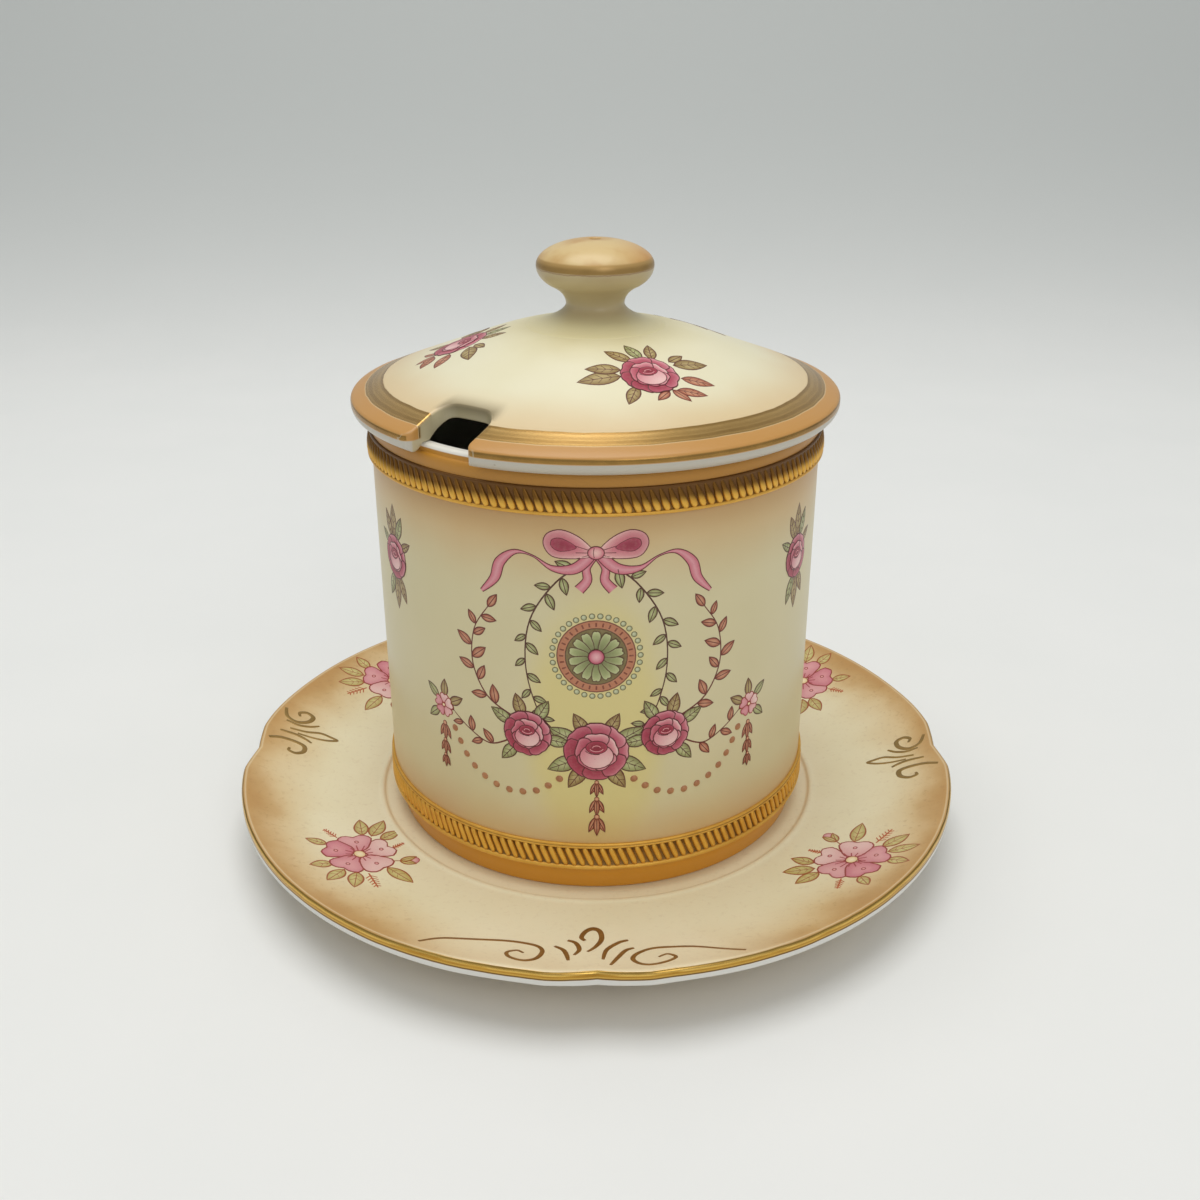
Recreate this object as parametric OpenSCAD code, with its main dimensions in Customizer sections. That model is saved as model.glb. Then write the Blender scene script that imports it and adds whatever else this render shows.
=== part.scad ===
// Jam pot: a straight-sided preserve pot with a domed, notched lid and a lobed underplate.
// Millimetres. +Z is up, the front is -Y and the origin is the middle of the underplate's base.

/* [Underplate] */
// Radius of the plate's rim
rim_r = 74.9; // [68:0.1:90]
// How far the rim dips in at the four cusps between its lobes
cusp_depth = 1.3; // [0.4:0.1:2.5]
// Degrees on each side of a cusp over which the rim bends in
cusp_turn = 7; // [5:1:20]
// Rise of the rim above the well that the pot stands in
rim_rise = 7.0; // [4:0.5:12]
// Thickness of the plate in the well
well_t = 3.6; // [2.5:0.1:6]
// Thickness of the plate at the rim
rim_t = 2.6; // [1.8:0.1:4]
// Room between the pot's wall and the step that rings the well
well_room = 2.4; // [1:0.1:5]
// Height of the step that rings the well
well_step_h = 0.5; // [0.2:0.1:1.5]
// Width of that step
well_step_w = 1.3; // [0.5:0.1:3]
// How far the foot ring's face stands in from the edge of the well
plate_foot_in = 1.6; // [0.5:0.1:6]
// Width of the foot ring under the plate
plate_foot_w = 3.4; // [2:0.1:6]
// Height of the foot ring under the plate
plate_foot_h = 3.6; // [2:0.1:6]

/* [Pot] */
// Height of the pot from its foot to its lip
pot_h = 84.3; // [60:0.1:110]
// Outer radius of the straight wall, which the lid, the bands and the well follow
wall_r = 43.2; // [36:0.1:50]
// Thickness of the wall
wall_t = 3.0; // [2.6:0.1:4]
// Thickness of the floor inside the pot
floor_t = 4.4; // [3:0.1:8]
// Radius of the rounding between floor and wall
floor_fillet = 5.0; // [1:0.5:10]
// How far the base of the plain foot band stands in from the wall
foot_in = 1.2; // [0.8:0.1:3]
// How much wider the foot band is at its top than at its base
foot_flare = 0.8; // [0:0.1:0.8]
// Height of the plain foot band
foot_band_h = 5.3; // [4:0.1:12]
// Width of the standing ring
foot_ring_w = 3.6; // [2:0.1:6]
// Depth of the recess inside the standing ring
foot_recess = 1.2; // [0.5:0.1:2.5]
// How far the lip stands in from the wall
lip_in = 0.8; // [0.4:0.1:0.9]
// Radius of the roundings on the lip
lip_round = 0.7; // [0.3:0.1:0.8]
// Height of the plain collar between the upper rope band and the lip
collar_h = 3.8; // [2:0.1:8]

/* [Rope bands] */
// Height of the lower rope band
lower_band_h = 5.6; // [2.5:0.1:6]
// Height of the upper rope band
upper_band_h = 4.9; // [3:0.1:8]
// How far the lower band stands out from the wall
lower_stand = 0.65; // [0.4:0.05:1.5]
// How far the upper band stands out from the wall
upper_stand = 1.05; // [0.5:0.05:2]
// Number of slanting ribs round the pot
rib_count = 168; // [60:1:180]
// Share of a band's stand that the grooves between the ribs take
groove_share = 0.58; // [0.2:0.02:0.7]
// How many ribs a rib leans over from the top of the band to the bottom
rib_lean = 1.3; // [0:0.1:3]
// Film of slip between a band and the wall
slip_gap = 0.05; // [0.02:0.01:0.2]

/* [Lid] */
// How far the lid's edge stands out over the lip
lid_over = 4.1; // [3:0.1:7]
// Thickness of the lid
lid_t = 2.5; // [1.8:0.1:3.5]
// Height of the lid's edge above its seat on the lip
lid_edge_h = 2.2; // [1.8:0.1:4]
// How far the lid's edge hangs below the seat
lid_droop = 0.9; // [0.2:0.1:1.2]
// Width of the sloping border outside the gilt ring
border_w = 2.3; // [1.5:0.1:4]
// Width of the gilt ring that surrounds the dome
ring_w = 4.0; // [2:0.1:6]
// Height of the gilt ring's outer edge above the seat
ring_out_h = 3.1; // [2.8:0.1:5]
// Height of the gilt ring's inner edge above the seat
ring_in_h = 4.7; // [4:0.1:7]
// Radius of curvature of the dome's crown
dome_curve = 66; // [50:1:120]
// Radius at which the crown turns into the straight flank
dome_shoulder_r = 23; // [15:1:30]
// Depth of the ring that holds the lid in the mouth of the pot
flange_h = 4.4; // [2:0.1:8]
// Thickness of that ring
flange_t = 2.4; // [1.5:0.1:4]
// Clearance between that ring and the inside of the pot
flange_gap = 0.8; // [0.3:0.1:1.5]

/* [Spoon notch] */
// Width of the notch
notch_w = 12.3; // [8:0.1:18]
// Length of the notch, in from the lid's edge
notch_l = 10.1; // [7:0.1:16]
// Direction of the notch, turned from the front towards the left
notch_turn = 35.5; // [0:0.5:90]
// Radius of the notch's two inner corners
notch_round = 3.4; // [1:0.1:3.8]
// Radius of the corners where the notch meets the lid's edge
notch_lead_r = 1.8; // [0.5:0.1:3]
// How far on each side of the notch the flange is cut away
flange_break = 13; // [2:1:20]

/* [Knob] */
// Radius of the knob's cap
knob_r = 11.0; // [9:0.1:14]
// Radius of the neck
neck_r = 5.5; // [4.6:0.1:7]
// Radius of the flared foot that is luted to the lid
knob_foot_r = 10.0; // [8:0.1:12]
// Height of the knob above its seat on the lid
knob_h = 15.2; // [14:0.1:20]
// Height of the widest line of the cap above the seat
knob_equator_h = 10.5; // [9:0.1:12]
// Height of the narrowest line of the neck above the seat
neck_h = 3.3; // [3:0.1:5]
// Thickness of the hollow cap
knob_wall = 2.2; // [1.5:0.1:2.8]
// Radius of the vent hole in the crown of the knob
vent_r = 1.0; // [0.6:0.1:1.5]

/* [Hidden] */
$fn = 128;
// One overrun for every cut
over = 1;
// Segments in a rounding, and in a long easy curve
round_n = 6;
curve_n = 12;

// Heights above the table
well_z = plate_foot_h + well_t;
lip_z = well_z + pot_h;

// Radii of the pot's mouth and lip, and of its foot band at its base and top
mouth_r = wall_r - wall_t;
lip_r = wall_r - lip_in;
foot_base_r = wall_r - foot_in;
foot_top_r = foot_base_r + foot_flare;

// Radii of the lid's edge and of the gilt ring on it
lid_r = lip_r + lid_over;
ring_out_r = lid_r - border_w;
ring_in_r = ring_out_r - ring_w;

// Inner end of the spoon notch
notch_in_r = lid_r - notch_l;

// Radii of the flat well and of the foot ring under it
well_r = wall_r + well_room;
plate_foot_r = well_r - plate_foot_in;

// The rope bands stand on the plain foot band and hang under the collar
lower_band_z = foot_band_h;
upper_band_z = pot_h - collar_h - upper_band_h;

// Drop of the dome from its top to a radius within the crown
function crown_drop(r) = dome_curve - sqrt(pow(dome_curve, 2) - pow(r, 2));
// Slope of the straight flank, the same as the crown's where they meet
flank_slope = dome_shoulder_r / sqrt(pow(dome_curve, 2) - pow(dome_shoulder_r, 2));
// Height above the seat that the bare dome would reach in the middle
dome_h = ring_in_h + flank_slope * (ring_in_r - dome_shoulder_r) + crown_drop(dome_shoulder_r);
// Height of the small flat on which the knob is luted
knob_seat_h = dome_h - crown_drop(knob_foot_r);
// Outer and inner radius of the flange
flange_out_r = mouth_r - flange_gap;
flange_in_r = flange_out_r - flange_t;

// Disc that trims a lobe: it passes through the cusps and meets the rim where the rim bends in
cusp_r = rim_r - cusp_depth;
lobe_shift = (pow(rim_r, 2) - pow(cusp_r, 2)) / (2 * (rim_r * cos(45 - cusp_turn) - cusp_r * cos(45)));
lobe_r = sqrt(pow(rim_r, 2) - 2 * rim_r * lobe_shift * cos(45 - cusp_turn) + pow(lobe_shift, 2));

// Points of an arc about c, from angle a0 to a1
function arc(c, r, a0, a1, n = round_n) =
    [for (i = [0:n]) c + r * [cos(a0 + (a1 - a0) * i / n), sin(a0 + (a1 - a0) * i / n)]];

// Points of an easy curve that leaves a towards b and arrives at c
function sweep(a, b, c, n = curve_n) =
    [for (i = [0:n]) let (t = i / n) pow(1 - t, 2) * a + 2 * t * (1 - t) * b + pow(t, 2) * c];

// The underplate: a shallow dish on a foot ring, its rim trimmed to four lobes
well_edge_r = well_r + well_step_w;
dish_rise_share = 0.42;
dish_flat_r = well_edge_r + dish_rise_share * (rim_r - well_edge_r);
rim_z = well_z + rim_rise;
rim_corner = rim_t / 4;

module dish_section() {
    foot_in_r = plate_foot_r - plate_foot_w;
    foot_bevel = plate_foot_w / 5;
    polygon(concat(
        [[0, plate_foot_h], [foot_in_r - foot_bevel, plate_foot_h], [foot_in_r + foot_bevel, 0],
         [plate_foot_r - foot_bevel, 0], [plate_foot_r + foot_bevel, plate_foot_h - foot_bevel]],
        sweep([plate_foot_r + 2 * foot_bevel, plate_foot_h], [dish_flat_r, plate_foot_h],
              [rim_r - rim_corner, rim_z - rim_t]),
        [[rim_r, rim_z - rim_t + rim_corner], [rim_r, rim_z - rim_corner]],
        sweep([rim_r - rim_corner, rim_z], [dish_flat_r, well_z + well_step_h],
              [well_edge_r, well_z + well_step_h]),
        [[well_r, well_z], [0, well_z]]));
}

// The trimming disc, bevelled above and below like the rim, which is lower at a cusp
module lobe_disc() {
    rim_slope = (rim_rise - well_step_h) / (rim_r - dish_flat_r);
    middle_z = rim_z - rim_t / 2 - rim_slope * cusp_depth / 2;
    depth = rim_z + over;
    rotate_extrude()
        polygon([[0, middle_z - depth], [lobe_r - depth + rim_corner, middle_z - depth],
                 [lobe_r, middle_z - rim_corner], [lobe_r, middle_z + rim_corner],
                 [lobe_r - depth + rim_corner, middle_z + depth], [0, middle_z + depth]]);
}

module underplate() {
    color([0.89, 0.82, 0.68])
        for (i = [0:3])
            intersection() {
                rotate_extrude() dish_section();
                rotate(45 + 90 * i) translate([lobe_shift, 0, 0]) lobe_disc();
            }
}

// The pot: one revolved wall with a standing ring, a floor, a collar and a rounded lip
module pot_section() {
    stand_out_r = foot_base_r - lip_round;
    stand_in_r = stand_out_r - foot_ring_w;
    collar_z = pot_h - collar_h;
    polygon(concat(
        [[0, foot_recess], [stand_in_r - foot_recess, foot_recess], [stand_in_r, 0]],
        arc([stand_out_r, lip_round], lip_round, -90, 0),
        [[foot_top_r, foot_band_h], [wall_r, foot_band_h], [wall_r, collar_z]],
        sweep([wall_r, collar_z + collar_h / 4], [wall_r, collar_z + 2 * collar_h / 3],
              [lip_r, pot_h - 2 * lip_round], round_n),
        arc([lip_r - lip_round, pot_h - lip_round], lip_round, 0, 90),
        arc([mouth_r + lip_round, pot_h - lip_round], lip_round, 90, 180),
        arc([mouth_r - floor_fillet, floor_t + floor_fillet], floor_fillet, 0, -90),
        [[0, floor_t]]));
}

module pot() {
    color([0.88, 0.84, 0.68])
        translate([0, 0, well_z])
            rotate_extrude() pot_section();
}

// A rope band: the section is carried round the pot, and its face sinks into a groove between ribs
// that lean as they go down. Each station is a height share, a stand share and a groove share.
lower_stations_shares = [[0, 0.3, 0], [0.04, 0.85, 0], [0.12, 0.85, 0], [0.2, 1, 1],
                         [0.79, 1, 1], [0.87, 0.85, 0], [0.96, 0.85, 0], [1, 0.3, 0]];
upper_stations_shares = [[0, 0.3, 0], [0.1, 0.75, 0], [0.2, 1, 0.9], [0.6, 1, 1],
                         [0.88, 0.78, 0.8], [1, 0.2, 0]];

module rope_band(band_z, band_h, stand, stations) {
    steps = 2 * rib_count;
    inner_r = wall_r + slip_gap;
    outer = len(stations);
    ring = outer + 2;
    // Radius of a station, sunk on every second step
    function face_r(s, i) = inner_r + stand * (s[1] - (i % 2) * groove_share * s[2]);
    // A station's angle leans with its height
    function turn(s, i) = 360 * (i / steps - s[0] * rib_lean / rib_count);
    function place(r, a, share) = [r * cos(a), r * sin(a), well_z + band_z + band_h * share];
    points = [for (i = [0:steps - 1]) each concat(
        [for (s = stations) place(face_r(s, i), turn(s, i), s[0])],
        [place(inner_r, turn(stations[outer - 1], i), 1), place(inner_r, turn(stations[0], i), 0)])];
    faces = [for (i = [0:steps - 1], k = [0:ring - 1])
        let (a = i * ring, b = ((i + 1) % steps) * ring, m = (k + 1) % ring)
        each [[a + k, a + m, b + k], [a + m, b + m, b + k]]];
    polyhedron(points = points, faces = faces, convexity = 4);
}

module lower_rope_band() {
    color([0.80, 0.60, 0.24])
        rope_band(lower_band_z, lower_band_h, lower_stand, lower_stations_shares);
}

module upper_rope_band() {
    color([0.80, 0.60, 0.24])
        rope_band(upper_band_z, upper_band_h, upper_stand, upper_stations_shares);
}

// The lid: a thin dome with a flat edge, drawn from its seat on the lip upwards
dome_centre_h = dome_h - dome_curve;
flank_angle = asin(dome_shoulder_r / dome_curve);
// Where the under side of the flank ends, inside the flange
flank_under_h = ring_in_h + flank_slope * (ring_in_r - flange_in_r) - lid_t / cos(flank_angle);

module lid_section() {
    seat_in_r = mouth_r + lip_round;
    seat_out_r = lip_r + lip_round / 2;
    under_round = 2 * lid_droop;
    corner = lid_edge_h / 5;
    crown_a = asin(knob_foot_r / dome_curve);
    polygon(concat(
        arc([0, dome_centre_h], dome_curve - lid_t, 90, 90 - flank_angle, curve_n),
        [[flange_in_r, flank_under_h], [seat_in_r, 0], [seat_out_r, 0]],
        sweep([lid_r - under_round, -lid_droop], [lid_r, -lid_droop], [lid_r, lid_edge_h / 2], round_n),
        sweep([lid_r, lid_edge_h - corner], [lid_r, lid_edge_h + corner / 3],
              [lid_r - 2 * corner, lid_edge_h + corner], round_n),
        [[ring_out_r, ring_out_h], [ring_in_r, ring_in_h]],
        arc([0, dome_centre_h], dome_curve, 90 - flank_angle, 90 - crown_a, curve_n),
        [[0, knob_seat_h]]));
}

module flange_section() {
    // The flange runs a little way up into the lid, which it is one piece with
    root_h = lid_t / 2;
    bevel = flange_t / 4;
    polygon([[flange_in_r, flank_under_h + root_h], [flange_in_r, -flange_h + bevel],
             [flange_in_r + bevel, -flange_h], [flange_out_r - bevel, -flange_h],
             [flange_out_r, -flange_h + bevel], [flange_out_r, root_h]]);
}

// The spoon notch, pointing along +X: straight sides and a flat end with rounded corners
module notch_cut(low, high) {
    half = notch_w / 2;
    translate([0, 0, low]) {
        for (side = [-1, 1])
            translate([notch_in_r + notch_round, side * (half - notch_round), 0])
                cylinder(r = notch_round, h = high - low);
        translate([notch_in_r, notch_round - half, 0])
            cube([notch_round + over, notch_w - 2 * notch_round, high - low]);
        translate([notch_in_r + notch_round, -half, 0])
            cube([lid_r, notch_w, high - low]);
    }
}

// What is taken off a sharp corner beside the notch, so that the corner is round
module lead_cut(side, low, high) {
    half = notch_w / 2;
    edge_x = sqrt(pow(lid_r, 2) - pow(half + notch_lead_r, 2)) - notch_lead_r;
    translate([0, 0, low])
        difference() {
            translate([edge_x, side > 0 ? half - over : -half - notch_lead_r, 0])
                cube([lid_r - edge_x + over, notch_lead_r + over, high - low]);
            translate([edge_x, side * (half + notch_lead_r), -over])
                cylinder(r = notch_lead_r, h = high - low + 2 * over);
        }
}

module lid() {
    low = -flange_h - over;
    high = dome_h;
    break_w = notch_w + 2 * flange_break;
    color([0.90, 0.86, 0.70])
        translate([0, 0, lip_z])
            rotate(-90 - notch_turn)
                difference() {
                    union() {
                        rotate_extrude() lid_section();
                        difference() {
                            rotate_extrude() flange_section();
                            translate([0, -break_w / 2, low]) cube([lid_r, break_w, high - low]);
                        }
                    }
                    notch_cut(low, high);
                    for (side = [-1, 1])
                        lead_cut(side, low, high);
                }
}

// The knob: a hollow mushroom with a flared foot and a vent hole in its crown
cap_h = knob_h - knob_equator_h;
cap_under_share = 0.76;
under_r_share = 0.57;
under_bend_share = 0.62;
side_bend_share = 0.4;
foot_bend_share = 0.55;
cap_under_h = knob_equator_h - cap_under_share * cap_h;

// The points of a list after its first
function after_first(list) = [for (i = [1:len(list) - 1]) list[i]];

module knob_section() {
    under_r = neck_r + under_r_share * (knob_r - neck_r);
    under_bend_h = neck_h + under_bend_share * (cap_under_h - neck_h);
    side_bend_h = cap_under_h + side_bend_share * (knob_equator_h - cap_under_h);
    foot_t = neck_h / 12;
    polygon(concat(
        [[0, 0], [knob_foot_r, 0], [knob_foot_r, foot_t]],
        sweep([knob_foot_r - foot_t, 2 * foot_t], [neck_r, foot_bend_share * neck_h], [neck_r, neck_h]),
        after_first(sweep([neck_r, neck_h], [neck_r, under_bend_h], [under_r, cap_under_h])),
        after_first(sweep([under_r, cap_under_h], [knob_r, side_bend_h], [knob_r, knob_equator_h])),
        [for (i = [1:curve_n]) let (a = 90 * i / curve_n)
            [knob_r * cos(a), knob_equator_h + cap_h * sin(a)]]));
}

// Hollow of the neck and cap, open at the foot, which the crown of the lid closes
module knob_hollow_section() {
    bore_r = neck_r - knob_wall;
    hollow_r = knob_r - knob_wall;
    hollow_h = cap_h - knob_wall;
    floor_h = cap_under_h + knob_wall;
    polygon(concat(
        [[0, -over], [bore_r, -over], [bore_r, floor_h]],
        sweep([hollow_r - knob_wall, floor_h], [hollow_r, floor_h], [hollow_r, knob_equator_h], round_n),
        [for (i = [1:round_n]) let (a = 90 * i / round_n)
            [hollow_r * cos(a), knob_equator_h + hollow_h * sin(a)]]));
}

module knob() {
    color([0.86, 0.70, 0.48])
        translate([0, 0, lip_z + knob_seat_h])
            difference() {
                rotate_extrude() knob_section();
                rotate_extrude() knob_hollow_section();
                translate([0, 0, knob_equator_h]) cylinder(r = vent_r, h = cap_h + over);
            }
}

underplate();
pot();
lower_rope_band();
upper_rope_band();
lid();
knob();
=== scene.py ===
# %% [markdown]
# # A china jam pot on its underplate
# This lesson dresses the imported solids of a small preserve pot. The pot, the lid, the knob and the
# underplate are turned as smooth shapes on a wheel made of Geometry Nodes. The rope bands are built
# from single ribs, and the painting is a thin skin of enamel laid on the glaze.

import math
import random

import bmesh
import bpy
from mathutils import Matrix, Vector


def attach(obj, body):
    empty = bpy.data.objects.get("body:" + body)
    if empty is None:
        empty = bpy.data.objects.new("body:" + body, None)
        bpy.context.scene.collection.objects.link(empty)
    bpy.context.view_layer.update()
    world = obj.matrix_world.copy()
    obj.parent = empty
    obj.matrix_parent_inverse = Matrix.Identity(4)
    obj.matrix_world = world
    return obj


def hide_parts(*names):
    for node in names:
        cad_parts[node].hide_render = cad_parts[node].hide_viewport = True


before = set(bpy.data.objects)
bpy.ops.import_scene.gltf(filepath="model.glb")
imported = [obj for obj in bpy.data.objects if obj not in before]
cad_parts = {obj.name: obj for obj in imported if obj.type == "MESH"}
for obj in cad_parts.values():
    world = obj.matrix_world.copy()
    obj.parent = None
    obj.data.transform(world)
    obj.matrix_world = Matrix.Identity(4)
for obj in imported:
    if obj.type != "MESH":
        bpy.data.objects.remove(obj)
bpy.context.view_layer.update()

# %% [markdown]
# All sizes are written in millimetres, as on a potter's drawing, and turned into metres only when a
# point goes into a mesh. The heights are counted from the table, so the pot's own foot stands at the
# height of the underplate's well.

# %% Sizes of the china
MM = 0.001
WELL_Z = 7.2
POT_H = 84.3
LIP_Z = WELL_Z + POT_H
WALL_R = 43.2
MOUTH_R = 40.2
LIP_R = 42.4
LOWER_BAND = (5.3, 10.9)
UPPER_BAND = (75.6, 80.5)
RIBS = 168
LID_R = 46.5
RING_OUT_R, RING_OUT_H = 43.6, 3.34
RING_IN_R, RING_IN_H = 40.2, 4.7
DOME_CURVE, DOME_SHOULDER = 66.0, 23.0
LID_T = 2.5
LID_UPRIGHT_T = LID_T * 1.06
FLANGE_IN_R, FLANGE_OUT_R, FLANGE_LOW = 37.0, 39.4, -3.9
SEAT_IN_R, SEAT_OUT_R = 40.9, 42.75
RIM_R, RIM_Z = 74.9, 14.2
DIP, DIP_TURN, FOLD, FOLD_FROM = 1.3, 7.0, 0.45, 56.0
RIDGE_FALL, GROOVE_AT, GROOVE_FALL, GROOVE_SHARE = 1.6, 1.7, 1.3, 0.55

# %% [markdown]
# A profile is a list of points, radius and height, that follows the surface once round its section.
# Two helpers draw it: one gives a piece of a circle, the other an easy bend between two points, which
# leaves the first towards a middle point and arrives at the last from there. A third fills in long
# steps, and the last tells which way is left of a path.


# %% Helpers that draw a profile
def arc(middle, radius, start, end, count, high=None):
    """Part of a circle, or of an oval if it has a height of its own."""
    points = []
    for i in range(count + 1):
        a = math.radians(start + (end - start) * i / count)
        points.append((middle[0] + radius * math.cos(a), middle[1] + (high or radius) * math.sin(a)))
    return points


def bend(a, b, c, count=14):
    points = []
    for i in range(count + 1):
        t = i / count
        x = (1 - t) ** 2 * a[0] + 2 * t * (1 - t) * b[0] + t * t * c[0]
        y = (1 - t) ** 2 * a[1] + 2 * t * (1 - t) * b[1] + t * t * c[1]
        points.append((x, y))
    return points


def close_steps(points, longest):
    """The same profile with no step longer than the given length, so that shading stays even."""
    filled = [points[0]]
    for before, after in zip(points, points[1:]):
        length = math.dist(before, after)
        if length < 1e-5:
            continue
        pieces = max(1, math.ceil(length / longest))
        for i in range(1, pieces + 1):
            t = i / pieces
            filled.append((before[0] + (after[0] - before[0]) * t, before[1] + (after[1] - before[1]) * t))
    return filled


def left_of(path, i):
    """The unit direction to the left of a path at one of its points."""
    x0, y0 = path[max(0, i - 1)]
    x1, y1 = path[min(len(path) - 1, i + 1)]
    length = max(1e-6, math.hypot(x1 - x0, y1 - y0))
    return -(y1 - y0) / length, (x1 - x0) / length


# %% Helpers for objects and meshes
def add_object(name, data):
    piece = bpy.data.objects.new(name, data)
    bpy.context.scene.collection.objects.link(piece)
    return piece


def turned_by(degrees, axis):
    return Matrix.Rotation(math.radians(degrees), 4, axis)


def point_outwards(mesh, merge=1e-7):
    """Turns every face outwards, and first merges what coincides unless merge is zero."""
    work = bmesh.new()
    work.from_mesh(mesh)
    if merge:
        bmesh.ops.remove_doubles(work, verts=work.verts, dist=merge)
    bmesh.ops.recalc_face_normals(work, faces=work.faces)
    work.to_mesh(mesh)
    work.free()
    mesh.update()


def smooth_faces(mesh):
    for face in mesh.polygons:
        face.use_smooth = True


# %% [markdown]
# Every node tree in this lesson, for shapes and for glazes alike, is written with the same helpers.
# One places a node and plugs its inputs, another does one sum, and the rest are short names for
# what comes back often.


# %% Helpers that write a node tree
def plug(tree, socket, value):
    """Gives an input either a link or a plain value."""
    if isinstance(value, bpy.types.NodeSocket):
        tree.links.new(value, socket)
    else:
        socket.default_value = value


def place(tree, kind, plugs=None, **traits):
    node = tree.nodes.new(kind)
    for trait, value in traits.items():
        setattr(node, trait, value)
    for socket, value in (plugs or {}).items():
        plug(tree, node.inputs[socket], value)
    return node


def reckon(tree, operation, *values):
    return place(tree, "ShaderNodeMath", dict(enumerate(values)), operation=operation).outputs[0]


def times(tree, a, b):
    return reckon(tree, "MULTIPLY", a, b)


def joined(tree, *values):
    """A vector from up to three numbers."""
    return place(tree, "ShaderNodeCombineXYZ", dict(enumerate(values))).outputs[0]


def from_axis(tree, axes):
    """How far a point lies from the vertical axis."""
    flat = joined(tree, axes[0], axes[1])
    return place(tree, "ShaderNodeVectorMath", {0: flat}, operation="LENGTH").outputs["Value"]


def noise(tree, vector, scale, detail, roughness=0.5):
    plugs = {"Vector": vector, "Scale": scale, "Detail": detail, "Roughness": roughness}
    return place(tree, "ShaderNodeTexNoise", plugs).outputs["Fac"]


def noise_along(tree, value, scale, detail):
    """Noise that changes along one value only, as the marks of a brush held to a turning wheel do."""
    plugs = {"W": value, "Scale": scale, "Detail": detail}
    return place(tree, "ShaderNodeTexNoise", plugs, noise_dimensions="1D").outputs["Fac"]


def soft_step(tree, value, start, end, to_min=0.0, to_max=1.0):
    plugs = {"Value": value, "From Min": start, "From Max": end, "To Min": to_min, "To Max": to_max}
    return place(tree, "ShaderNodeMapRange", plugs, interpolation_type="SMOOTHSTEP").outputs[0]


def new_group(name, kind, sockets_in, sockets_out):
    """A node group with named sockets; each socket is a name, a type and a starting value."""
    tree = bpy.data.node_groups.new(name, kind)
    for label, socket, value in sockets_in:
        made = tree.interface.new_socket(label, in_out="INPUT", socket_type=socket)
        if value is not None:
            made.default_value = value
    for label, socket in sockets_out:
        tree.interface.new_socket(label, in_out="OUTPUT", socket_type=socket)
    return tree, tree.nodes.new("NodeGroupInput").outputs, tree.nodes.new("NodeGroupOutput").inputs


# %% [markdown]
# ## The camera and the light
# The camera stands where the photograph was taken from, straight in front and looking down by 24
# degrees. It comes first, so that every piece can be judged against the photograph.

# %% The camera
SENSOR_WIDTH = 36.0
FOCAL_PIXELS, PHOTO_PIXELS = 1287.5, 1200
CAMERA_PLACE = (0, -0.24314, 0.15673)
LOOKS_DOWN, TURN, ROLL = 24.03, -0.188, -0.095

camera = add_object("Camera", bpy.data.cameras.new("Camera"))
camera.data.sensor_width = SENSOR_WIDTH
camera.data.lens = SENSOR_WIDTH * FOCAL_PIXELS / PHOTO_PIXELS
camera.data.clip_start = 0.01
camera.data.clip_end = 20
aim = turned_by(TURN, "Z") @ turned_by(90 - LOOKS_DOWN, "X") @ turned_by(ROLL, "Z")
camera.matrix_world = Matrix.Translation(CAMERA_PLACE) @ aim
bpy.context.scene.camera = camera
bpy.context.scene.view_settings.view_transform = "Standard"
print("Lens", round(camera.data.lens, 2), "mm")

# %% [markdown]
# The pot stands on pale paper that curves up behind it. A wide soft lamp overhead makes the gentle
# highlights on the gilding, a second one fills the front, and an even sky keeps the shadows open.

# %% The paper sweep
PAPER_SIDE, PAPER_FRONT, PAPER_TOP = 1.8, -1.6, 1.6
BEND_FROM, BEND_R = 0.36, 0.30

paper_profile = [(PAPER_FRONT, 0.0), (BEND_FROM, 0.0)]
paper_profile += arc((BEND_FROM, BEND_R), BEND_R, -90, 0, 16)[1:]
paper_profile.append((BEND_FROM + BEND_R, PAPER_TOP))
paper_mesh = bpy.data.meshes.new("Paper sweep")
paper_mesh.from_pydata(
    [(x, y, z) for y, z in paper_profile for x in (-PAPER_SIDE, PAPER_SIDE)],
    [],
    [(2 * i, 2 * i + 1, 2 * i + 3, 2 * i + 2) for i in range(len(paper_profile) - 1)],
)
smooth_faces(paper_mesh)
add_object("Paper_sweep", paper_mesh)


# %% Lamps and sky
def soft_lamp(name, place_at, look_at, width, power, colour):
    light = bpy.data.lights.new(name, "AREA")
    light.shape = "DISK"
    light.size = width
    light.energy = power
    light.color = colour
    lamp = add_object(name, light)
    lamp.location = place_at
    lamp.rotation_mode = "QUATERNION"
    lamp.rotation_quaternion = (Vector(look_at) - Vector(place_at)).to_track_quat("-Z", "Y")


soft_lamp("Overhead lamp", (-0.06, 0.03, 0.95), (0, 0, 0.05), 0.80, 4.65, (1.0, 0.985, 0.96))
soft_lamp("Front lamp", (0.35, -0.9, 0.75), (0, 0, 0.06), 0.6, 1.75, (1.0, 0.98, 0.95))

world = bpy.data.worlds.new("Even sky")
bpy.context.scene.world = world
world.use_nodes = True
sky = world.node_tree
sky.nodes["Background"].inputs["Color"].default_value = (0.80, 0.82, 0.83, 1)
sky.nodes["Background"].inputs["Strength"].default_value = 0.60


# %% [markdown]
# ## Effects shared by the glazes
# Old blush ware is never one flat colour. Four small groups carry what its glazes have in common:
# a cloudy drift of tone, tiny dark kiln specks, the ragged edge of sprayed colour, and the streaks
# of gilding laid on with a brush. Each puts out masks only, and each glaze mixes its own colours.

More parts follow.
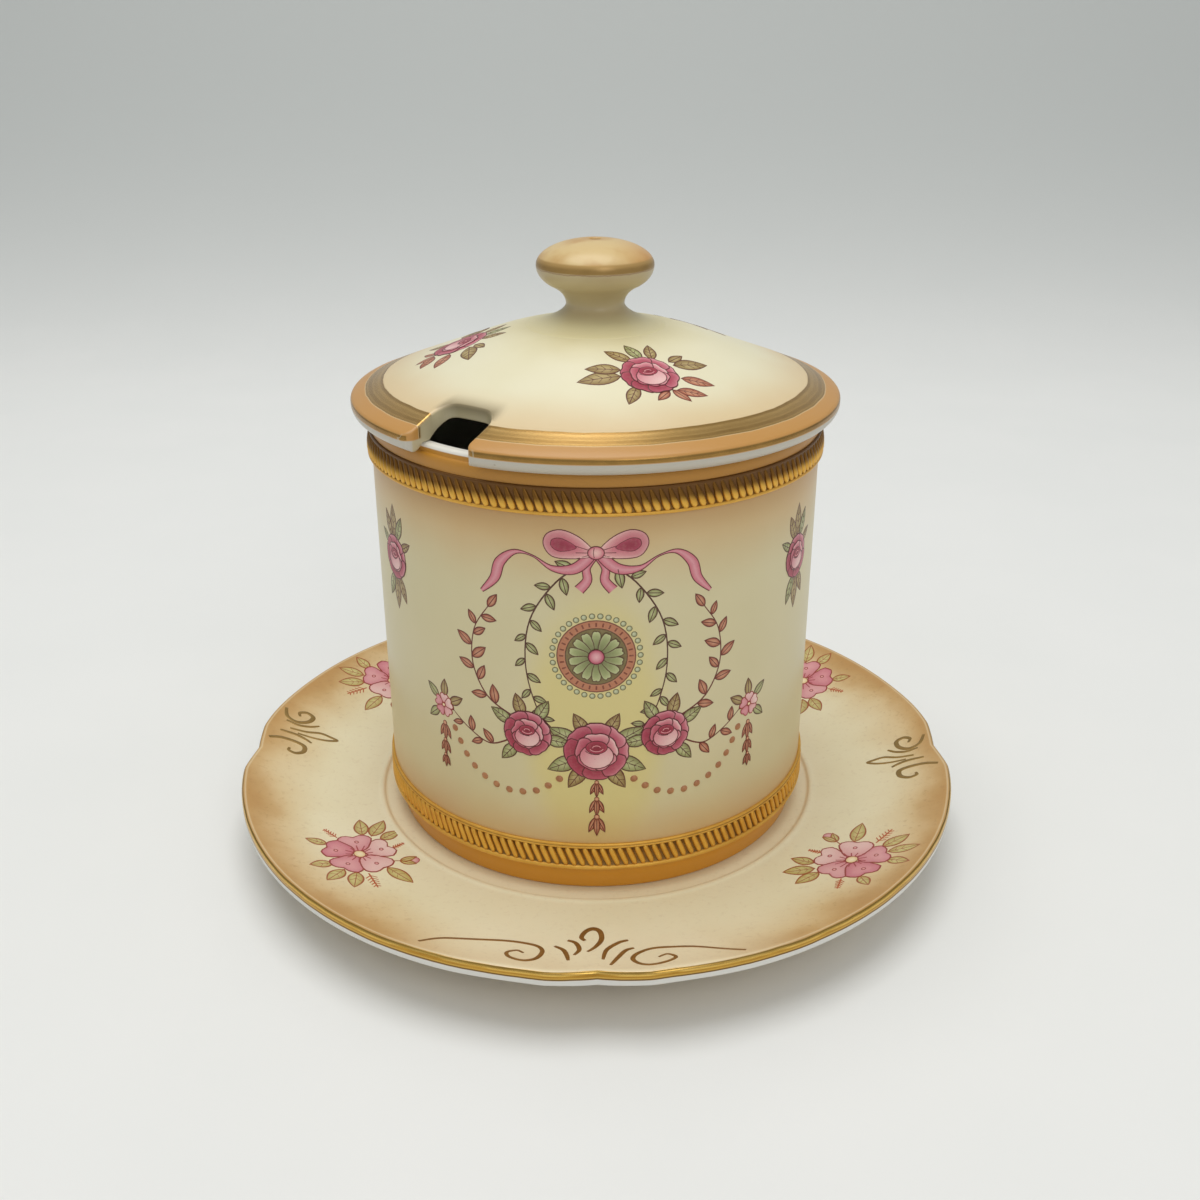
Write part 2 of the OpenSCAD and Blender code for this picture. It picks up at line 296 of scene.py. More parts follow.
# %% The glaze groups
glaze_cloud, cin, cout = new_group(
    "Glaze cloud", "ShaderNodeTree",
    [("Place in mm", "NodeSocketVector", None), ("Patch size", "NodeSocketFloat", 18.0)],
    [("Tone", "NodeSocketFloat"), ("Ripple", "NodeSocketFloat")],
)
scale = reckon(glaze_cloud, "DIVIDE", 1.0, cin["Patch size"])
wide = noise(glaze_cloud, cin["Place in mm"], scale, 3.0)
fine = noise(glaze_cloud, cin["Place in mm"], 1.3, 2.0)
glaze_cloud.links.new(wide, cout["Tone"])
glaze_cloud.links.new(fine, cout["Ripple"])

kiln_specks, cin, cout = new_group(
    "Kiln specks", "ShaderNodeTree",
    [("Place in mm", "NodeSocketVector", None), ("Apart", "NodeSocketFloat", 6.0),
     ("Width", "NodeSocketFloat", 0.2)],
    [("Mask", "NodeSocketFloat")],
)
scale = reckon(kiln_specks, "DIVIDE", 1.0, cin["Apart"])
cells = place(kiln_specks, "ShaderNodeTexVoronoi", {"Vector": cin["Place in mm"], "Scale": scale})
near = times(kiln_specks, cells.outputs["Distance"], cin["Apart"])
chance = place(kiln_specks, "ShaderNodeSeparateColor", {0: cells.outputs["Color"]})
reach = times(kiln_specks, cin["Width"], chance.outputs[0])
inside = soft_step(kiln_specks, near, reach, 0.0)
seldom = reckon(kiln_specks, "GREATER_THAN", chance.outputs[1], 0.55)
kiln_specks.links.new(times(kiln_specks, inside, seldom), cout["Mask"])

sprayed_edge, cin, cout = new_group(
    "Sprayed edge", "ShaderNodeTree",
    [("Place in mm", "NodeSocketVector", None), ("Distance", "NodeSocketFloat", 0.0),
     ("Clear at", "NodeSocketFloat", 0.0), ("Full at", "NodeSocketFloat", 1.0),
     ("Wander", "NodeSocketFloat", 1.0)],
    [("Mask", "NodeSocketFloat")],
)
drift = noise(sprayed_edge, cin["Place in mm"], 0.06, 4.0)
drift = times(sprayed_edge, reckon(sprayed_edge, "SUBTRACT", drift, 0.5), 2.0)
moved = reckon(sprayed_edge, "MULTIPLY_ADD", drift, cin["Wander"], cin["Distance"])
mask = soft_step(sprayed_edge, moved, cin["Clear at"], cin["Full at"])
sprayed_edge.links.new(mask, cout["Mask"])

brushed_gilt, cin, cout = new_group(
    "Brushed gilt", "ShaderNodeTree",
    [("Place in mm", "NodeSocketVector", None), ("Rubbed", "NodeSocketFloat", 0.4)],
    [("Tone", "NodeSocketFloat"), ("Roughness", "NodeSocketFloat"), ("Worn", "NodeSocketFloat")],
)
streak = noise(brushed_gilt, cin["Place in mm"], 0.35, 6.0)
grain = noise(brushed_gilt, cin["Place in mm"], 2.2, 3.0)
brushed_gilt.links.new(streak, cout["Tone"])
rough = place(
    brushed_gilt, "ShaderNodeMapRange",
    {"Value": grain, "From Min": 0.3, "From Max": 0.7, "To Min": 0.3, "To Max": 0.48},
)
brushed_gilt.links.new(rough.outputs[0], cout["Roughness"])
thinness = reckon(brushed_gilt, "ADD", grain, times(brushed_gilt, streak, cin["Rubbed"]))
brushed_gilt.links.new(reckon(brushed_gilt, "GREATER_THAN", thinness, 0.97), cout["Worn"])
print("Shared groups:", [g.name for g in bpy.data.node_groups])


# %% [markdown]
# A glaze is written from the inside out: the body colour first, then each band or blush over it by
# a mask. These helpers keep that readable. Colours are given as they look on a screen, from 0 to
# 255, and turned into the linear values that Blender works with.


# %% Helpers for the glazes
RIPPLE_DEPTH = 0.02


def colour(red, green, blue):
    linear = []
    for value in (red, green, blue):
        c = value / 255
        linear.append(c / 12.92 if c <= 0.04045 else ((c + 0.055) / 1.055) ** 2.4)
    return (*linear, 1.0)


def over(tree, under, top, mask, strength=None):
    """One colour laid over another by a mask, which a strength can weaken."""
    if strength is not None:
        mask = times(tree, mask, strength)
    under, top = (colour(*c) if isinstance(c, tuple) else c for c in (under, top))
    return place(tree, "ShaderNodeMix", {0: mask, 6: under, 7: top}, data_type="RGBA").outputs[2]


def strip(tree, value, low, high, soft=0.12):
    """A mask that is one between two bounds and fades over a narrow edge."""
    rise = soft_step(tree, value, low - soft, low + soft)
    fall = soft_step(tree, value, high - soft, high + soft, 1.0, 0.0)
    return times(tree, rise, fall)


def effect(tree, group, mm, **settings):
    """A shared effect at a place in millimetres. A setting's underscores stand for spaces."""
    plugs = {name.replace("_", " "): value for name, value in settings.items()}
    return place(tree, "ShaderNodeGroup", {"Place in mm": mm, **plugs}, node_tree=group).outputs


def sprayed(tree, mm, distance, clear, full, wander):
    """The mask of a sprayed blush, from where it is clear to where it is full."""
    blush = effect(tree, sprayed_edge, mm, Distance=distance, Clear_at=clear, Full_at=full, Wander=wander)
    return blush["Mask"]


def specks(tree, mm, apart, width):
    return effect(tree, kiln_specks, mm, Apart=apart, Width=width)["Mask"]


def stored(tree, name, output="Fac"):
    """What was marked or painted on the points under this name."""
    return place(tree, "ShaderNodeAttribute", attribute_name=name).outputs[output]


def new_glaze(name):
    """An empty glaze: its tree, its shader, and the place on the piece in millimetres."""
    material = bpy.data.materials.new(name)
    material.use_nodes = True
    tree = material.node_tree
    shader = tree.nodes["Principled BSDF"]
    where = place(tree, "ShaderNodeTexCoord").outputs["Object"]
    scaled = place(tree, "ShaderNodeVectorMath", {0: where, "Scale": 1 / MM}, operation="SCALE")
    millimetres = scaled.outputs[0]
    axes = place(tree, "ShaderNodeSeparateXYZ", {0: millimetres}).outputs
    return material, tree, shader, millimetres, axes


def finish_glaze(tree, shader, paint, ripple, roughness, metal=0.0):
    """Plugs in the colour, the finish and a faint relief, so that highlights waver."""
    plugs = {"Strength": 0.25, "Distance": RIPPLE_DEPTH * MM, "Height": ripple}
    relief = place(tree, "ShaderNodeBump", plugs).outputs[0]
    wanted = {"Base Color": paint, "Normal": relief, "Roughness": roughness, "Metallic": metal}
    for name, value in wanted.items():
        plug(tree, shader.inputs[name], value)


# %% [markdown]
# ## The glazes
# The wall is cream with a faint olive cast, warmer beside the rope bands. Its foot band and collar
# are sprayed orange brown, and the lip is bare white. Where the front and back designs hang, a soft
# yellow was rubbed on before they were painted.

# %% Paper
paper_material, tree, shader, mm, axes = new_glaze("Pale paper")
# Painted shade: towards the back, where the sweep curves up, the paper is painted greyer.
back = soft_step(tree, axes[1], 330.0, 620.0)
grain = noise(tree, mm, 0.02, 2.0)
pale = over(tree, (240, 240, 238), (235, 236, 234), grain)
tree.links.new(over(tree, pale, (192, 195, 193), back), shader.inputs["Base Color"])
shader.inputs["Roughness"].default_value = 0.9
shader.inputs["Specular IOR Level"].default_value = 0.15
paper_mesh.materials.append(paper_material)

# %% Glaze of the wall
wall_glaze, tree, shader, mm, axes = new_glaze("Ivory wall glaze")
radius = from_axis(tree, axes)
height = reckon(tree, "SUBTRACT", axes[2], WELL_Z)
cloud = effect(tree, glaze_cloud, mm, Patch_size=24.0)
ivory = over(tree, (221, 209, 169), (209, 198, 153), cloud["Tone"])
yellow_x = reckon(tree, "DIVIDE", axes[0], 13.0)
yellow_z = reckon(tree, "DIVIDE", reckon(tree, "SUBTRACT", height, 34.0), 30.0)
apart = reckon(tree, "ADD", times(tree, yellow_x, yellow_x), times(tree, yellow_z, yellow_z))
yellow = sprayed(tree, mm, apart, 1.25, 0.35, 0.25)
facing = soft_step(tree, reckon(tree, "ABSOLUTE", axes[1]), 20.0, 32.0)
paint = over(tree, ivory, (222, 204, 122), times(tree, yellow, facing), 0.62)
blush_up = sprayed(tree, mm, height, 59.0, 78.0, 3.0)
blush_low = sprayed(tree, mm, height, 22.0, 7.0, 2.0)
blush = reckon(tree, "MAXIMUM", blush_up, blush_low)
paint = over(tree, paint, (206, 160, 98), blush, 0.85)
# Painted shade: the wall is darkened just under the upper rope band.
shade_under_band = soft_step(tree, height, 70.0, UPPER_BAND[0])
paint = over(tree, paint, (160, 122, 74), shade_under_band, 0.3)
foot = strip(tree, height, -2.0, LOWER_BAND[0] + 0.4, 0.2)
paint = over(tree, paint, (210, 144, 36), foot)
collar = soft_step(tree, height, UPPER_BAND[1] - 0.5, UPPER_BAND[1] + 0.2)
paint = over(tree, paint, (185, 129, 44), collar)
white = (233, 230, 220)
lip = soft_step(tree, height, POT_H - 0.75, POT_H - 0.55)
paint = over(tree, paint, white, lip)
inner = soft_step(tree, radius, 41.3, 40.9)
paint = over(tree, paint, white, inner, soft_step(tree, height, 2.0, 3.0))
paint = over(tree, paint, white, soft_step(tree, height, 1.6, 1.35), inner)
speckled = specks(tree, mm, 7.0, 0.32)
paint = over(tree, paint, (120, 96, 60), speckled, 0.55)
finish_glaze(tree, shader, paint, cloud["Ripple"], 0.34)

# %% Glaze of the lid
lid_glaze, tree, shader, mm, axes = new_glaze("Ivory lid glaze")
radius = from_axis(tree, axes)
top_side = stored(tree, "Top side")
height = reckon(tree, "SUBTRACT", axes[2], LIP_Z)
cloud = effect(tree, glaze_cloud, mm, Patch_size=20.0)
ivory = over(tree, (238, 232, 204), (230, 222, 184), cloud["Tone"])
# Round the knob the crown is painted yellower and darker: partly the glaze's own tint, partly painted shade
# from the knob.
crown = sprayed(tree, mm, radius, 24.0, 8.0, 6.0)
paint = over(tree, ivory, (206, 192, 138), crown, 0.8)
blush = sprayed(tree, mm, radius, 29.0, 41.5, 2.5)
paint = over(tree, paint, (214, 174, 114), blush, 0.6)
wavy = noise(tree, mm, 0.16, 2.0)
wavy = reckon(tree, "MULTIPLY_ADD", wavy, 0.5, reckon(tree, "SUBTRACT", radius, 0.25))
gilt = effect(tree, brushed_gilt, mm, Rubbed=0.3)
ring = strip(tree, wavy, RING_IN_R, RING_OUT_R, 0.1)
border = soft_step(tree, wavy, RING_OUT_R, RING_OUT_R + 0.2)
paint = over(tree, paint, (196, 144, 76), border)
# Bands of lighter and darker gold run round the ring: partly brush marks, partly painted highlight streaks.
ring_streaks_and_highlights = soft_step(tree, noise_along(tree, wavy, 1.3, 3.0), 0.34, 0.66)
ring_gold = over(tree, (158, 122, 66), (216, 178, 112), ring_streaks_and_highlights)
ring_gold = over(tree, ring_gold, (190, 150, 86), gilt["Tone"])
paint = over(tree, paint, ring_gold, ring)
edge = times(tree, strip(tree, height, 1.15, 2.0, 0.12), soft_step(tree, radius, 45.9, 46.1))
edge_gold = over(tree, (138, 106, 52), (178, 136, 72), gilt["Tone"])
paint = over(tree, paint, edge_gold, edge)
in_notch = stored(tree, "Notch wall")
body = over(tree, (214, 209, 196), (198, 187, 152), in_notch)
stained_and_shaded = stored(tree, "Stain and shade")
low_edge = times(tree, soft_step(tree, height, 1.12, 0.95), soft_step(tree, radius, 45.0, 45.4))
corner = times(tree, soft_step(tree, radius, 42.8, 43.6), soft_step(tree, height, 0.9, 1.2))
painted = reckon(tree, "MAXIMUM", top_side, times(tree, corner, in_notch))
paint = over(tree, body, paint, painted)
# In the notch and on the dome behind it, the lid is painted darker: partly a glaze stain, partly painted
# shade.
paint = over(tree, paint, (104, 92, 60), stained_and_shaded, 0.85)
paint = over(tree, paint, (196, 190, 176), low_edge)
speckled = specks(tree, mm, 8.0, 0.3)
paint = over(tree, paint, (130, 104, 66), speckled, 0.5)
shiny = times(tree, reckon(tree, "MAXIMUM", ring, edge), painted)
polish = reckon(tree, "MULTIPLY_ADD", shiny, -0.08, 0.34)
finish_glaze(tree, shader, paint, cloud["Ripple"], polish, times(tree, shiny, 0.8))

# %% Glaze of the knob
knob_glaze, tree, shader, mm, axes = new_glaze("Peach knob glaze")
radius = from_axis(tree, axes)
KNOB_Z = LIP_Z + 14.47
height = reckon(tree, "SUBTRACT", axes[2], KNOB_Z)
cloud = effect(tree, glaze_cloud, mm, Patch_size=9.0)
lower = over(tree, (200, 184, 144), (178, 160, 120), cloud["Tone"])
lower = over(tree, lower, (220, 209, 163), soft_step(tree, height, 2.6, 0.3))
patchy = soft_step(tree, cloud["Tone"], 0.38, 0.62)
upper = over(tree, (216, 188, 132), (196, 154, 92), patchy)
side_blush = soft_step(tree, axes[0], 2.0, 12.0)
upper = over(tree, upper, (196, 138, 70), side_blush, 0.75)
gilt = effect(tree, brushed_gilt, mm, Rubbed=0.3)
paint = over(tree, lower, upper, soft_step(tree, height, 10.7, 11.2))
line = times(tree, strip(tree, height, 10.3, 11.9, 0.18), soft_step(tree, radius, 7.0, 8.0))
line_gold = over(tree, (140, 110, 56), (168, 134, 74), gilt["Tone"])
line_gold = over(tree, line_gold, (184, 148, 88), soft_step(tree, height, 11.0, 11.7))
paint = over(tree, paint, line_gold, line)
rub = noise(tree, mm, 0.5, 3.0)
under_line = strip(tree, reckon(tree, "MULTIPLY_ADD", rub, 0.5, height), 10.35, 10.5, 0.1)
paint = over(tree, paint, (128, 74, 44), under_line, 0.6)
finish_glaze(tree, shader, paint, cloud["Ripple"], 0.33, times(tree, line, 0.3))

# %% Glaze of the underplate
plate_glaze, tree, shader, mm, axes = new_glaze("Ivory plate glaze")
radius = from_axis(tree, axes)
cloud = effect(tree, glaze_cloud, mm, Patch_size=16.0)
ivory = over(tree, (245, 236, 204), (234, 222, 182), cloud["Tone"])
blush = sprayed(tree, mm, radius, 57.0, 76.0, 6.0)
# Between pot and rim the front of the plate has a weaker blush and is painted lighter: partly a thinner
# spray, partly painted light against the pot's shade.
pale_and_lit_front = times(tree, soft_step(tree, axes[1], -46.0, -64.0),
                    soft_step(tree, reckon(tree, "ABSOLUTE", axes[0]), 42.0, 14.0))
strength = reckon(tree, "MULTIPLY_ADD", pale_and_lit_front, -0.5, 0.9)
paint = over(tree, ivory, (208, 166, 98), blush, strength)
rim_blush = sprayed(tree, mm, radius, 67.0, 75.5, 8.0)
rim_strength = reckon(tree, "MULTIPLY_ADD", pale_and_lit_front, -0.4, 0.58)
paint = over(tree, paint, (174, 122, 56), rim_blush, rim_strength)
pepper = noise(tree, mm, 0.9, 6.0, 0.7)
grainy = times(tree, soft_step(tree, pepper, 0.52, 0.72), reckon(tree, "MULTIPLY_ADD", blush, 0.3, 0.14))
paint = over(tree, paint, (170, 128, 74), grainy)
# Painted light: the front is lightened towards pale cream.
paint = over(tree, paint, (252, 242, 214), pale_and_lit_front, 0.45)
outward = stored(tree, "From rim")
gilt = effect(tree, brushed_gilt, mm, Rubbed=0.35)
wavy = noise(tree, mm, 0.12, 2.0)
wavy = reckon(tree, "MULTIPLY_ADD", wavy, 0.4, reckon(tree, "SUBTRACT", outward, 0.2))
# Painted highlight: a thin pale line along the rounded top edge of the rim.
rim_edge_highlight = strip(tree, outward, 0.62, 0.95, 0.12)
paint = over(tree, paint, (240, 224, 186), rim_edge_highlight, 0.4)
line = strip(tree, wavy, -0.9, 0.4, 0.08)
# Lighter and darker streaks run along the gold line: partly burnish marks, partly a painted highlight.
burnish_and_highlight = soft_step(tree, noise_along(tree, wavy, 2.4, 2.0), 0.36, 0.64)
gold = over(tree, (160, 112, 32), (250, 212, 120), burnish_and_highlight)
gold = over(tree, gold, (206, 160, 66), gilt["Tone"])
gold = over(tree, gold, (112, 82, 28), soft_step(tree, wavy, 0.0, 0.25), 0.7)
gold = over(tree, gold, (100, 68, 24), soft_step(tree, wavy, -0.45, -0.8))
gold = over(tree, gold, (196, 160, 104), gilt["Worn"], 0.7)
paint = over(tree, paint, gold, line)
underside = soft_step(tree, wavy, -0.85, -1.0)
below = over(tree, (224, 222, 214), (204, 182, 140), soft_step(tree, radius, 72.5, 69.5))
paint = over(tree, paint, below, underside)
speckled = specks(tree, mm, 7.0, 0.35)
paint = over(tree, paint, (130, 100, 60), speckled, 0.6)
polish = reckon(tree, "MULTIPLY_ADD", line, -0.1, 0.36)
finish_glaze(tree, shader, paint, cloud["Ripple"], polish, times(tree, line, 0.8))


# %% [markdown]
# The bands are fully gilt. The ribs and the plain borders are bright and slightly rubbed. The ground
# between the ribs is a darker, duller gold. Under the collar, ribs and ground alike are painted dark
# as painted shade and reflection of the lid that overhangs them.

# %% Gilding
rib_gold, tree, shader, mm, axes = new_glaze("Bright rope gilding")
height = reckon(tree, "SUBTRACT", axes[2], WELL_Z)
gilt = effect(tree, brushed_gilt, mm, Rubbed=0.3)
bright = over(tree, (210, 152, 52), (246, 198, 92), gilt["Tone"])
# Painted shade and reflection: the ribs darken towards the collar, under the overhanging lid.
shade_under_collar = soft_step(tree, height, 77.0, 78.7)
paint = over(tree, bright, (108, 68, 14), shade_under_collar, 0.92)
finish_glaze(tree, shader, paint, gilt["Tone"], gilt["Roughness"], 0.7)

ground_gold, tree, shader, mm, axes = new_glaze("Dull rope ground")
height = reckon(tree, "SUBTRACT", axes[2], WELL_Z)
gilt = effect(tree, brushed_gilt, mm, Rubbed=0.3)
dull = over(tree, (118, 84, 34), (154, 114, 54), gilt["Tone"])
# Painted shade and reflection: the ground darkens towards the collar too.
dull = over(tree, dull, (98, 60, 12), soft_step(tree, height, 76.2, 77.4), 0.85)
bright = over(tree, (206, 150, 52), (240, 190, 86), gilt["Tone"])
borders = strip(tree, height, LOWER_BAND[0] - 0.2, LOWER_BAND[0] + 0.86, 0.06)
for low, high in ((LOWER_BAND[1] - 0.92, LOWER_BAND[1] + 0.2), (UPPER_BAND[0] - 0.2, UPPER_BAND[0] + 0.62)):
    borders = reckon(tree, "MAXIMUM", borders, strip(tree, height, low, high, 0.06))
seam = strip(tree, height, LOWER_BAND[1] - 0.5, LOWER_BAND[1] - 0.4, 0.05)
paint = over(tree, dull, bright, borders)
paint = over(tree, paint, (140, 96, 34), seam, 0.8)
finish_glaze(tree, shader, paint, gilt["Tone"], 0.45, 0.5)


# %% [markdown]
# ## The wheel
# Pot, lid, knob and underplate are all turned shapes, so one tree of Geometry Nodes makes them. It
# lays out a grid, reads the profile's point for each row, and wraps the columns once round the axis.
# The first and last column and the points on the axis are merged, so the shell is closed.


# %% Helpers that the trees for shapes share
def round_axis(tree, radius, turn, height):
    """A place at an angle round the vertical axis."""
    across = times(tree, radius, reckon(tree, "COSINE", turn))
    return joined(tree, across, times(tree, radius, reckon(tree, "SINE", turn)), height)


def end_tree(tree, last, glaze, outputs):
    """Makes what a tree has drawn real and smooth, gives it its glaze and puts it out."""
    real = place(tree, "GeometryNodeRealizeInstances", {"Geometry": last.outputs[0]})
    even = place(tree, "GeometryNodeSetShadeSmooth", {"Geometry": real.outputs[0]})
    glazed = place(tree, "GeometryNodeSetMaterial", {"Geometry": even.outputs[0], "Material": glaze})
    tree.links.new(glazed.outputs[0], outputs["Geometry"])


# %% The tree that turns a profile
wheel, win, wout = new_group(
    "Turn on the wheel", "GeometryNodeTree",
    [("Geometry", "NodeSocketGeometry", None), ("Steps round", "NodeSocketInt", 240),
     ("Profile points", "NodeSocketInt", 10), ("Glaze", "NodeSocketMaterial", None)],
    [("Geometry", "NodeSocketGeometry")],
)
columns = reckon(wheel, "ADD", win["Steps round"], 1)
grid = place(wheel, "GeometryNodeMeshGrid", {"Vertices X": columns, "Vertices Y": win["Profile points"]})
index = place(wheel, "GeometryNodeInputIndex").outputs[0]
passed = reckon(wheel, "DIVIDE", reckon(wheel, "ADD", index, 0.5), win["Profile points"])
column = reckon(wheel, "FLOOR", passed)
row = reckon(wheel, "SUBTRACT", index, times(wheel, column, win["Profile points"]))
position = place(wheel, "GeometryNodeInputPosition").outputs[0]
sample = place(
    wheel, "GeometryNodeSampleIndex", {"Geometry": win["Geometry"], "Value": position, "Index": row},
    data_type="FLOAT_VECTOR", domain="POINT",
)
profile_axes = place(wheel, "ShaderNodeSeparateXYZ", {0: sample.outputs["Value"]}).outputs
turn = times(wheel, reckon(wheel, "DIVIDE", column, win["Steps round"]), 2 * math.pi)
wrapped = round_axis(wheel, profile_axes[0], turn, profile_axes[2])
shell = place(wheel, "GeometryNodeSetPosition", {"Geometry": grid.outputs["Mesh"], "Position": wrapped})
merged = place(wheel, "GeometryNodeMergeByDistance", {"Geometry": shell.outputs[0], "Distance": 1e-6})
end_tree(wheel, merged, win["Glaze"], wout)


# %% A helper that runs a tree and keeps plain mesh
def run_tree(name, tree, start_mesh, settings):
    """Runs a Geometry Nodes tree on a mesh and gives the result as a plain object."""
    worker = add_object(name + "_start", start_mesh)
    modifier = worker.modifiers.new("Tree", "NODES")
    modifier.node_group = tree
    for item in tree.interface.items_tree:
        if item.item_type == "SOCKET" and item.in_out == "INPUT" and item.name in settings:
            modifier[item.identifier] = settings[item.name]
    depsgraph = bpy.context.evaluated_depsgraph_get()
    made = bpy.data.meshes.new_from_object(worker.evaluated_get(depsgraph), depsgraph=depsgraph)
    bpy.data.objects.remove(worker)
    made.name = name
    return add_object(name, made)


def turn_piece(name, profile, steps, glaze, longest=2.0, rise=0.0):
    """Turns a profile, raised by the given height, with no step longer than the given length."""
    points = close_steps([(r, z + rise) for r, z in profile], longest)
    start = bpy.data.meshes.new(name + " profile")
    edges = [(i, i + 1) for i in range(len(points) - 1)]
    start.from_pydata([(r * MM, 0, z * MM) for r, z in points], edges, [])
    settings = {"Steps round": steps, "Profile points": len(points), "Glaze": glaze}
    piece = run_tree(name, wheel, start, settings)
    point_outwards(piece.data)
    print(name, "turned from", len(points), "points into", len(piece.data.polygons), "faces")
    return piece


# %% [markdown]
# ## The pot
# The section runs from the middle of the foot outwards, up the wall with its slight foot band, over
# the rounded lip and down the inside to the floor. The corners that the glaze softened are small
# arcs, because a sharp edge on china catches no light and looks cut out of card.

# %% Turn the pot
pot_profile = (
    [(0, 1.2), (36.0, 1.2), (37.0, 0.4), (37.6, 0.0)]
    + arc((41.3, 0.7), 0.7, -90, -5, 6)
    + arc((42.5, 5.0), 0.3, 10, 90, 4)
    + [(WALL_R - 0.1, 5.35)]
    + [(WALL_R, 5.5), (WALL_R, 80.6)]
    + bend((WALL_R, 81.4), (WALL_R, 83.0), (LIP_R, 82.9), 8)
    + arc((LIP_R - 0.7, POT_H - 0.7), 0.7, 0, 90, 8)
    + arc((MOUTH_R + 0.7, POT_H - 0.7), 0.7, 90, 180, 8)
    + arc((MOUTH_R - 5.0, 9.4), 5.0, 0, -90, 12)
    + [(0, 4.4)]
)
pot = turn_piece("Pot_wall", pot_profile, 320, wall_glaze, 3.0, WELL_Z)

# %% [markdown]
# ## The rope bands
# Each band was pressed in a mould and stuck on with slip. It is drawn as a turned ground with plain
# borders, and 168 ribs that lean to the right as they go down. One rib is a short bar with blunt
# ends, and a tree repeats it round the pot, so a change to one number changes the whole rope.

# %% One rib, drawn at unit size
def blunt_bar(name, ends=4.0, inward=0.0, taper=0.0, around=10, along=10):
    """A closed bar along Z. A higher number for its ends makes them blunter; taper thins its top."""
    work = bmesh.new()
    rings = []
    for i in range(1, along):
        z = -math.cos(math.pi * i / along)
        r = math.sqrt(1 - abs(z) ** ends) * (1 - taper * (z + 1) / 2)
        turns = [2 * math.pi * k / around for k in range(around)]
        back = inward * max(0.0, z)
        rings.append([work.verts.new((r * math.cos(a) - back, r * math.sin(a), z)) for a in turns])
    low = work.verts.new((0, 0, -1))
    high = work.verts.new((-inward, 0, 1))
    for k in range(around):
        m = (k + 1) % around
        work.faces.new((low, rings[0][m], rings[0][k]))
        work.faces.new((high, rings[-1][k], rings[-1][m]))
        for before, after in zip(rings, rings[1:]):
            work.faces.new((before[k], before[m], after[m], after[k]))
    bmesh.ops.recalc_face_normals(work, faces=work.faces)
    mesh = bpy.data.meshes.new(name)
    work.to_mesh(mesh)
    work.free()
    return mesh


# %% The tree that lays the ribs
ropes, rin, rout = new_group(
    "Lay rope ribs", "GeometryNodeTree",
    [("Geometry", "NodeSocketGeometry", None), ("Ribs", "NodeSocketInt", RIBS),
     ("Radius", "NodeSocketFloat", 0.04), ("Height", "NodeSocketFloat", 0.0),
     ("Rib size", "NodeSocketVector", None), ("Lean", "NodeSocketFloat", 0.5),
     ("Gilding", "NodeSocketMaterial", None)],
    [("Geometry", "NodeSocketGeometry")],
)
points = place(ropes, "GeometryNodePoints", {"Count": rin["Ribs"]})
index = place(ropes, "GeometryNodeInputIndex").outputs[0]
turn = times(ropes, reckon(ropes, "DIVIDE", index, rin["Ribs"]), 2 * math.pi)
spot = round_axis(ropes, rin["Radius"], turn, rin["Height"])
spread = place(ropes, "GeometryNodeSetPosition", {"Geometry": points.outputs[0], "Position": spot})
leaning = joined(ropes, rin["Lean"])
stretched = place(ropes, "GeometryNodeTransform", {"Geometry": rin["Geometry"], "Scale": rin["Rib size"]})
tipped = place(ropes, "GeometryNodeTransform", {"Geometry": stretched.outputs[0], "Rotation": leaning})
facing = joined(ropes, 0.0, 0.0, turn)
laid = place(ropes, "GeometryNodeInstanceOnPoints", {
    "Points": spread.outputs[0], "Instance": tipped.outputs[0], "Rotation": facing,
})
end_tree(ropes, laid, rin["Gilding"], rout)

# %% Both bands
b0, b1 = (h + WELL_Z for h in LOWER_BAND)
lower_profile = (
    [(WALL_R - 0.3, b0), (WALL_R + 0.25, b0)]
    + arc((WALL_R + 0.28, b0 + 0.42), 0.42, -90, 75, 7)
    + [(WALL_R + 0.08, b0 + 0.95), (WALL_R + 0.08, b1 - 0.98)]
    + arc((WALL_R + 0.32, b1 - 0.68), 0.27, -75, 60, 5)
    + arc((WALL_R + 0.26, b1 - 0.24), 0.24, -50, 90, 5)
    + [(WALL_R - 0.3, b1), (WALL_R - 0.3, b0)]
)
lower_ground = turn_piece("Lower_rope_ground", lower_profile, 2 * RIBS, ground_gold)
lower_ribs = run_tree("Lower_rope_ribs", ropes, blunt_bar("Lower rib", 6.0), {
    "Ribs": RIBS, "Radius": (WALL_R + 0.14) * MM, "Height": (b0 + b1 - 0.05) / 2 * MM,
    "Rib size": (0.52 * MM, 0.56 * MM, 2.16 * MM), "Lean": math.radians(22), "Gilding": rib_gold,
})

b0, b1 = (h + WELL_Z for h in UPPER_BAND)
upper_profile = (
    [(WALL_R - 0.3, b0), (WALL_R + 0.3, b0)]
    + arc((WALL_R + 0.50, b0 + 0.34), 0.34, -90, 70, 6)
    + [(WALL_R + 0.4, b0 + 0.75), (WALL_R + 0.36, b0 + 3.2), (WALL_R + 0.3, b0 + 4.2)]
    + bend((WALL_R + 0.4, b0 + 4.45), (WALL_R + 0.45, b1), (WALL_R + 0.05, b1), 6)
    + [(WALL_R - 0.3, b1), (WALL_R - 0.3, b0)]
)
upper_ground = turn_piece("Upper_rope_ground", upper_profile, 2 * RIBS, ground_gold)
upper_ribs = run_tree("Upper_rope_ribs", ropes, blunt_bar("Upper rib", 4.0, 0.35, 0.55), {
    "Ribs": RIBS, "Radius": (WALL_R + 0.42) * MM, "Height": (b0 + 2.5) * MM,
    "Rib size": (0.60 * MM, 0.80 * MM, 2.22 * MM), "Lean": math.radians(21), "Gilding": rib_gold,
})
print("Ribs:", len(lower_ribs.data.polygons), "and", len(upper_ribs.data.polygons), "faces")

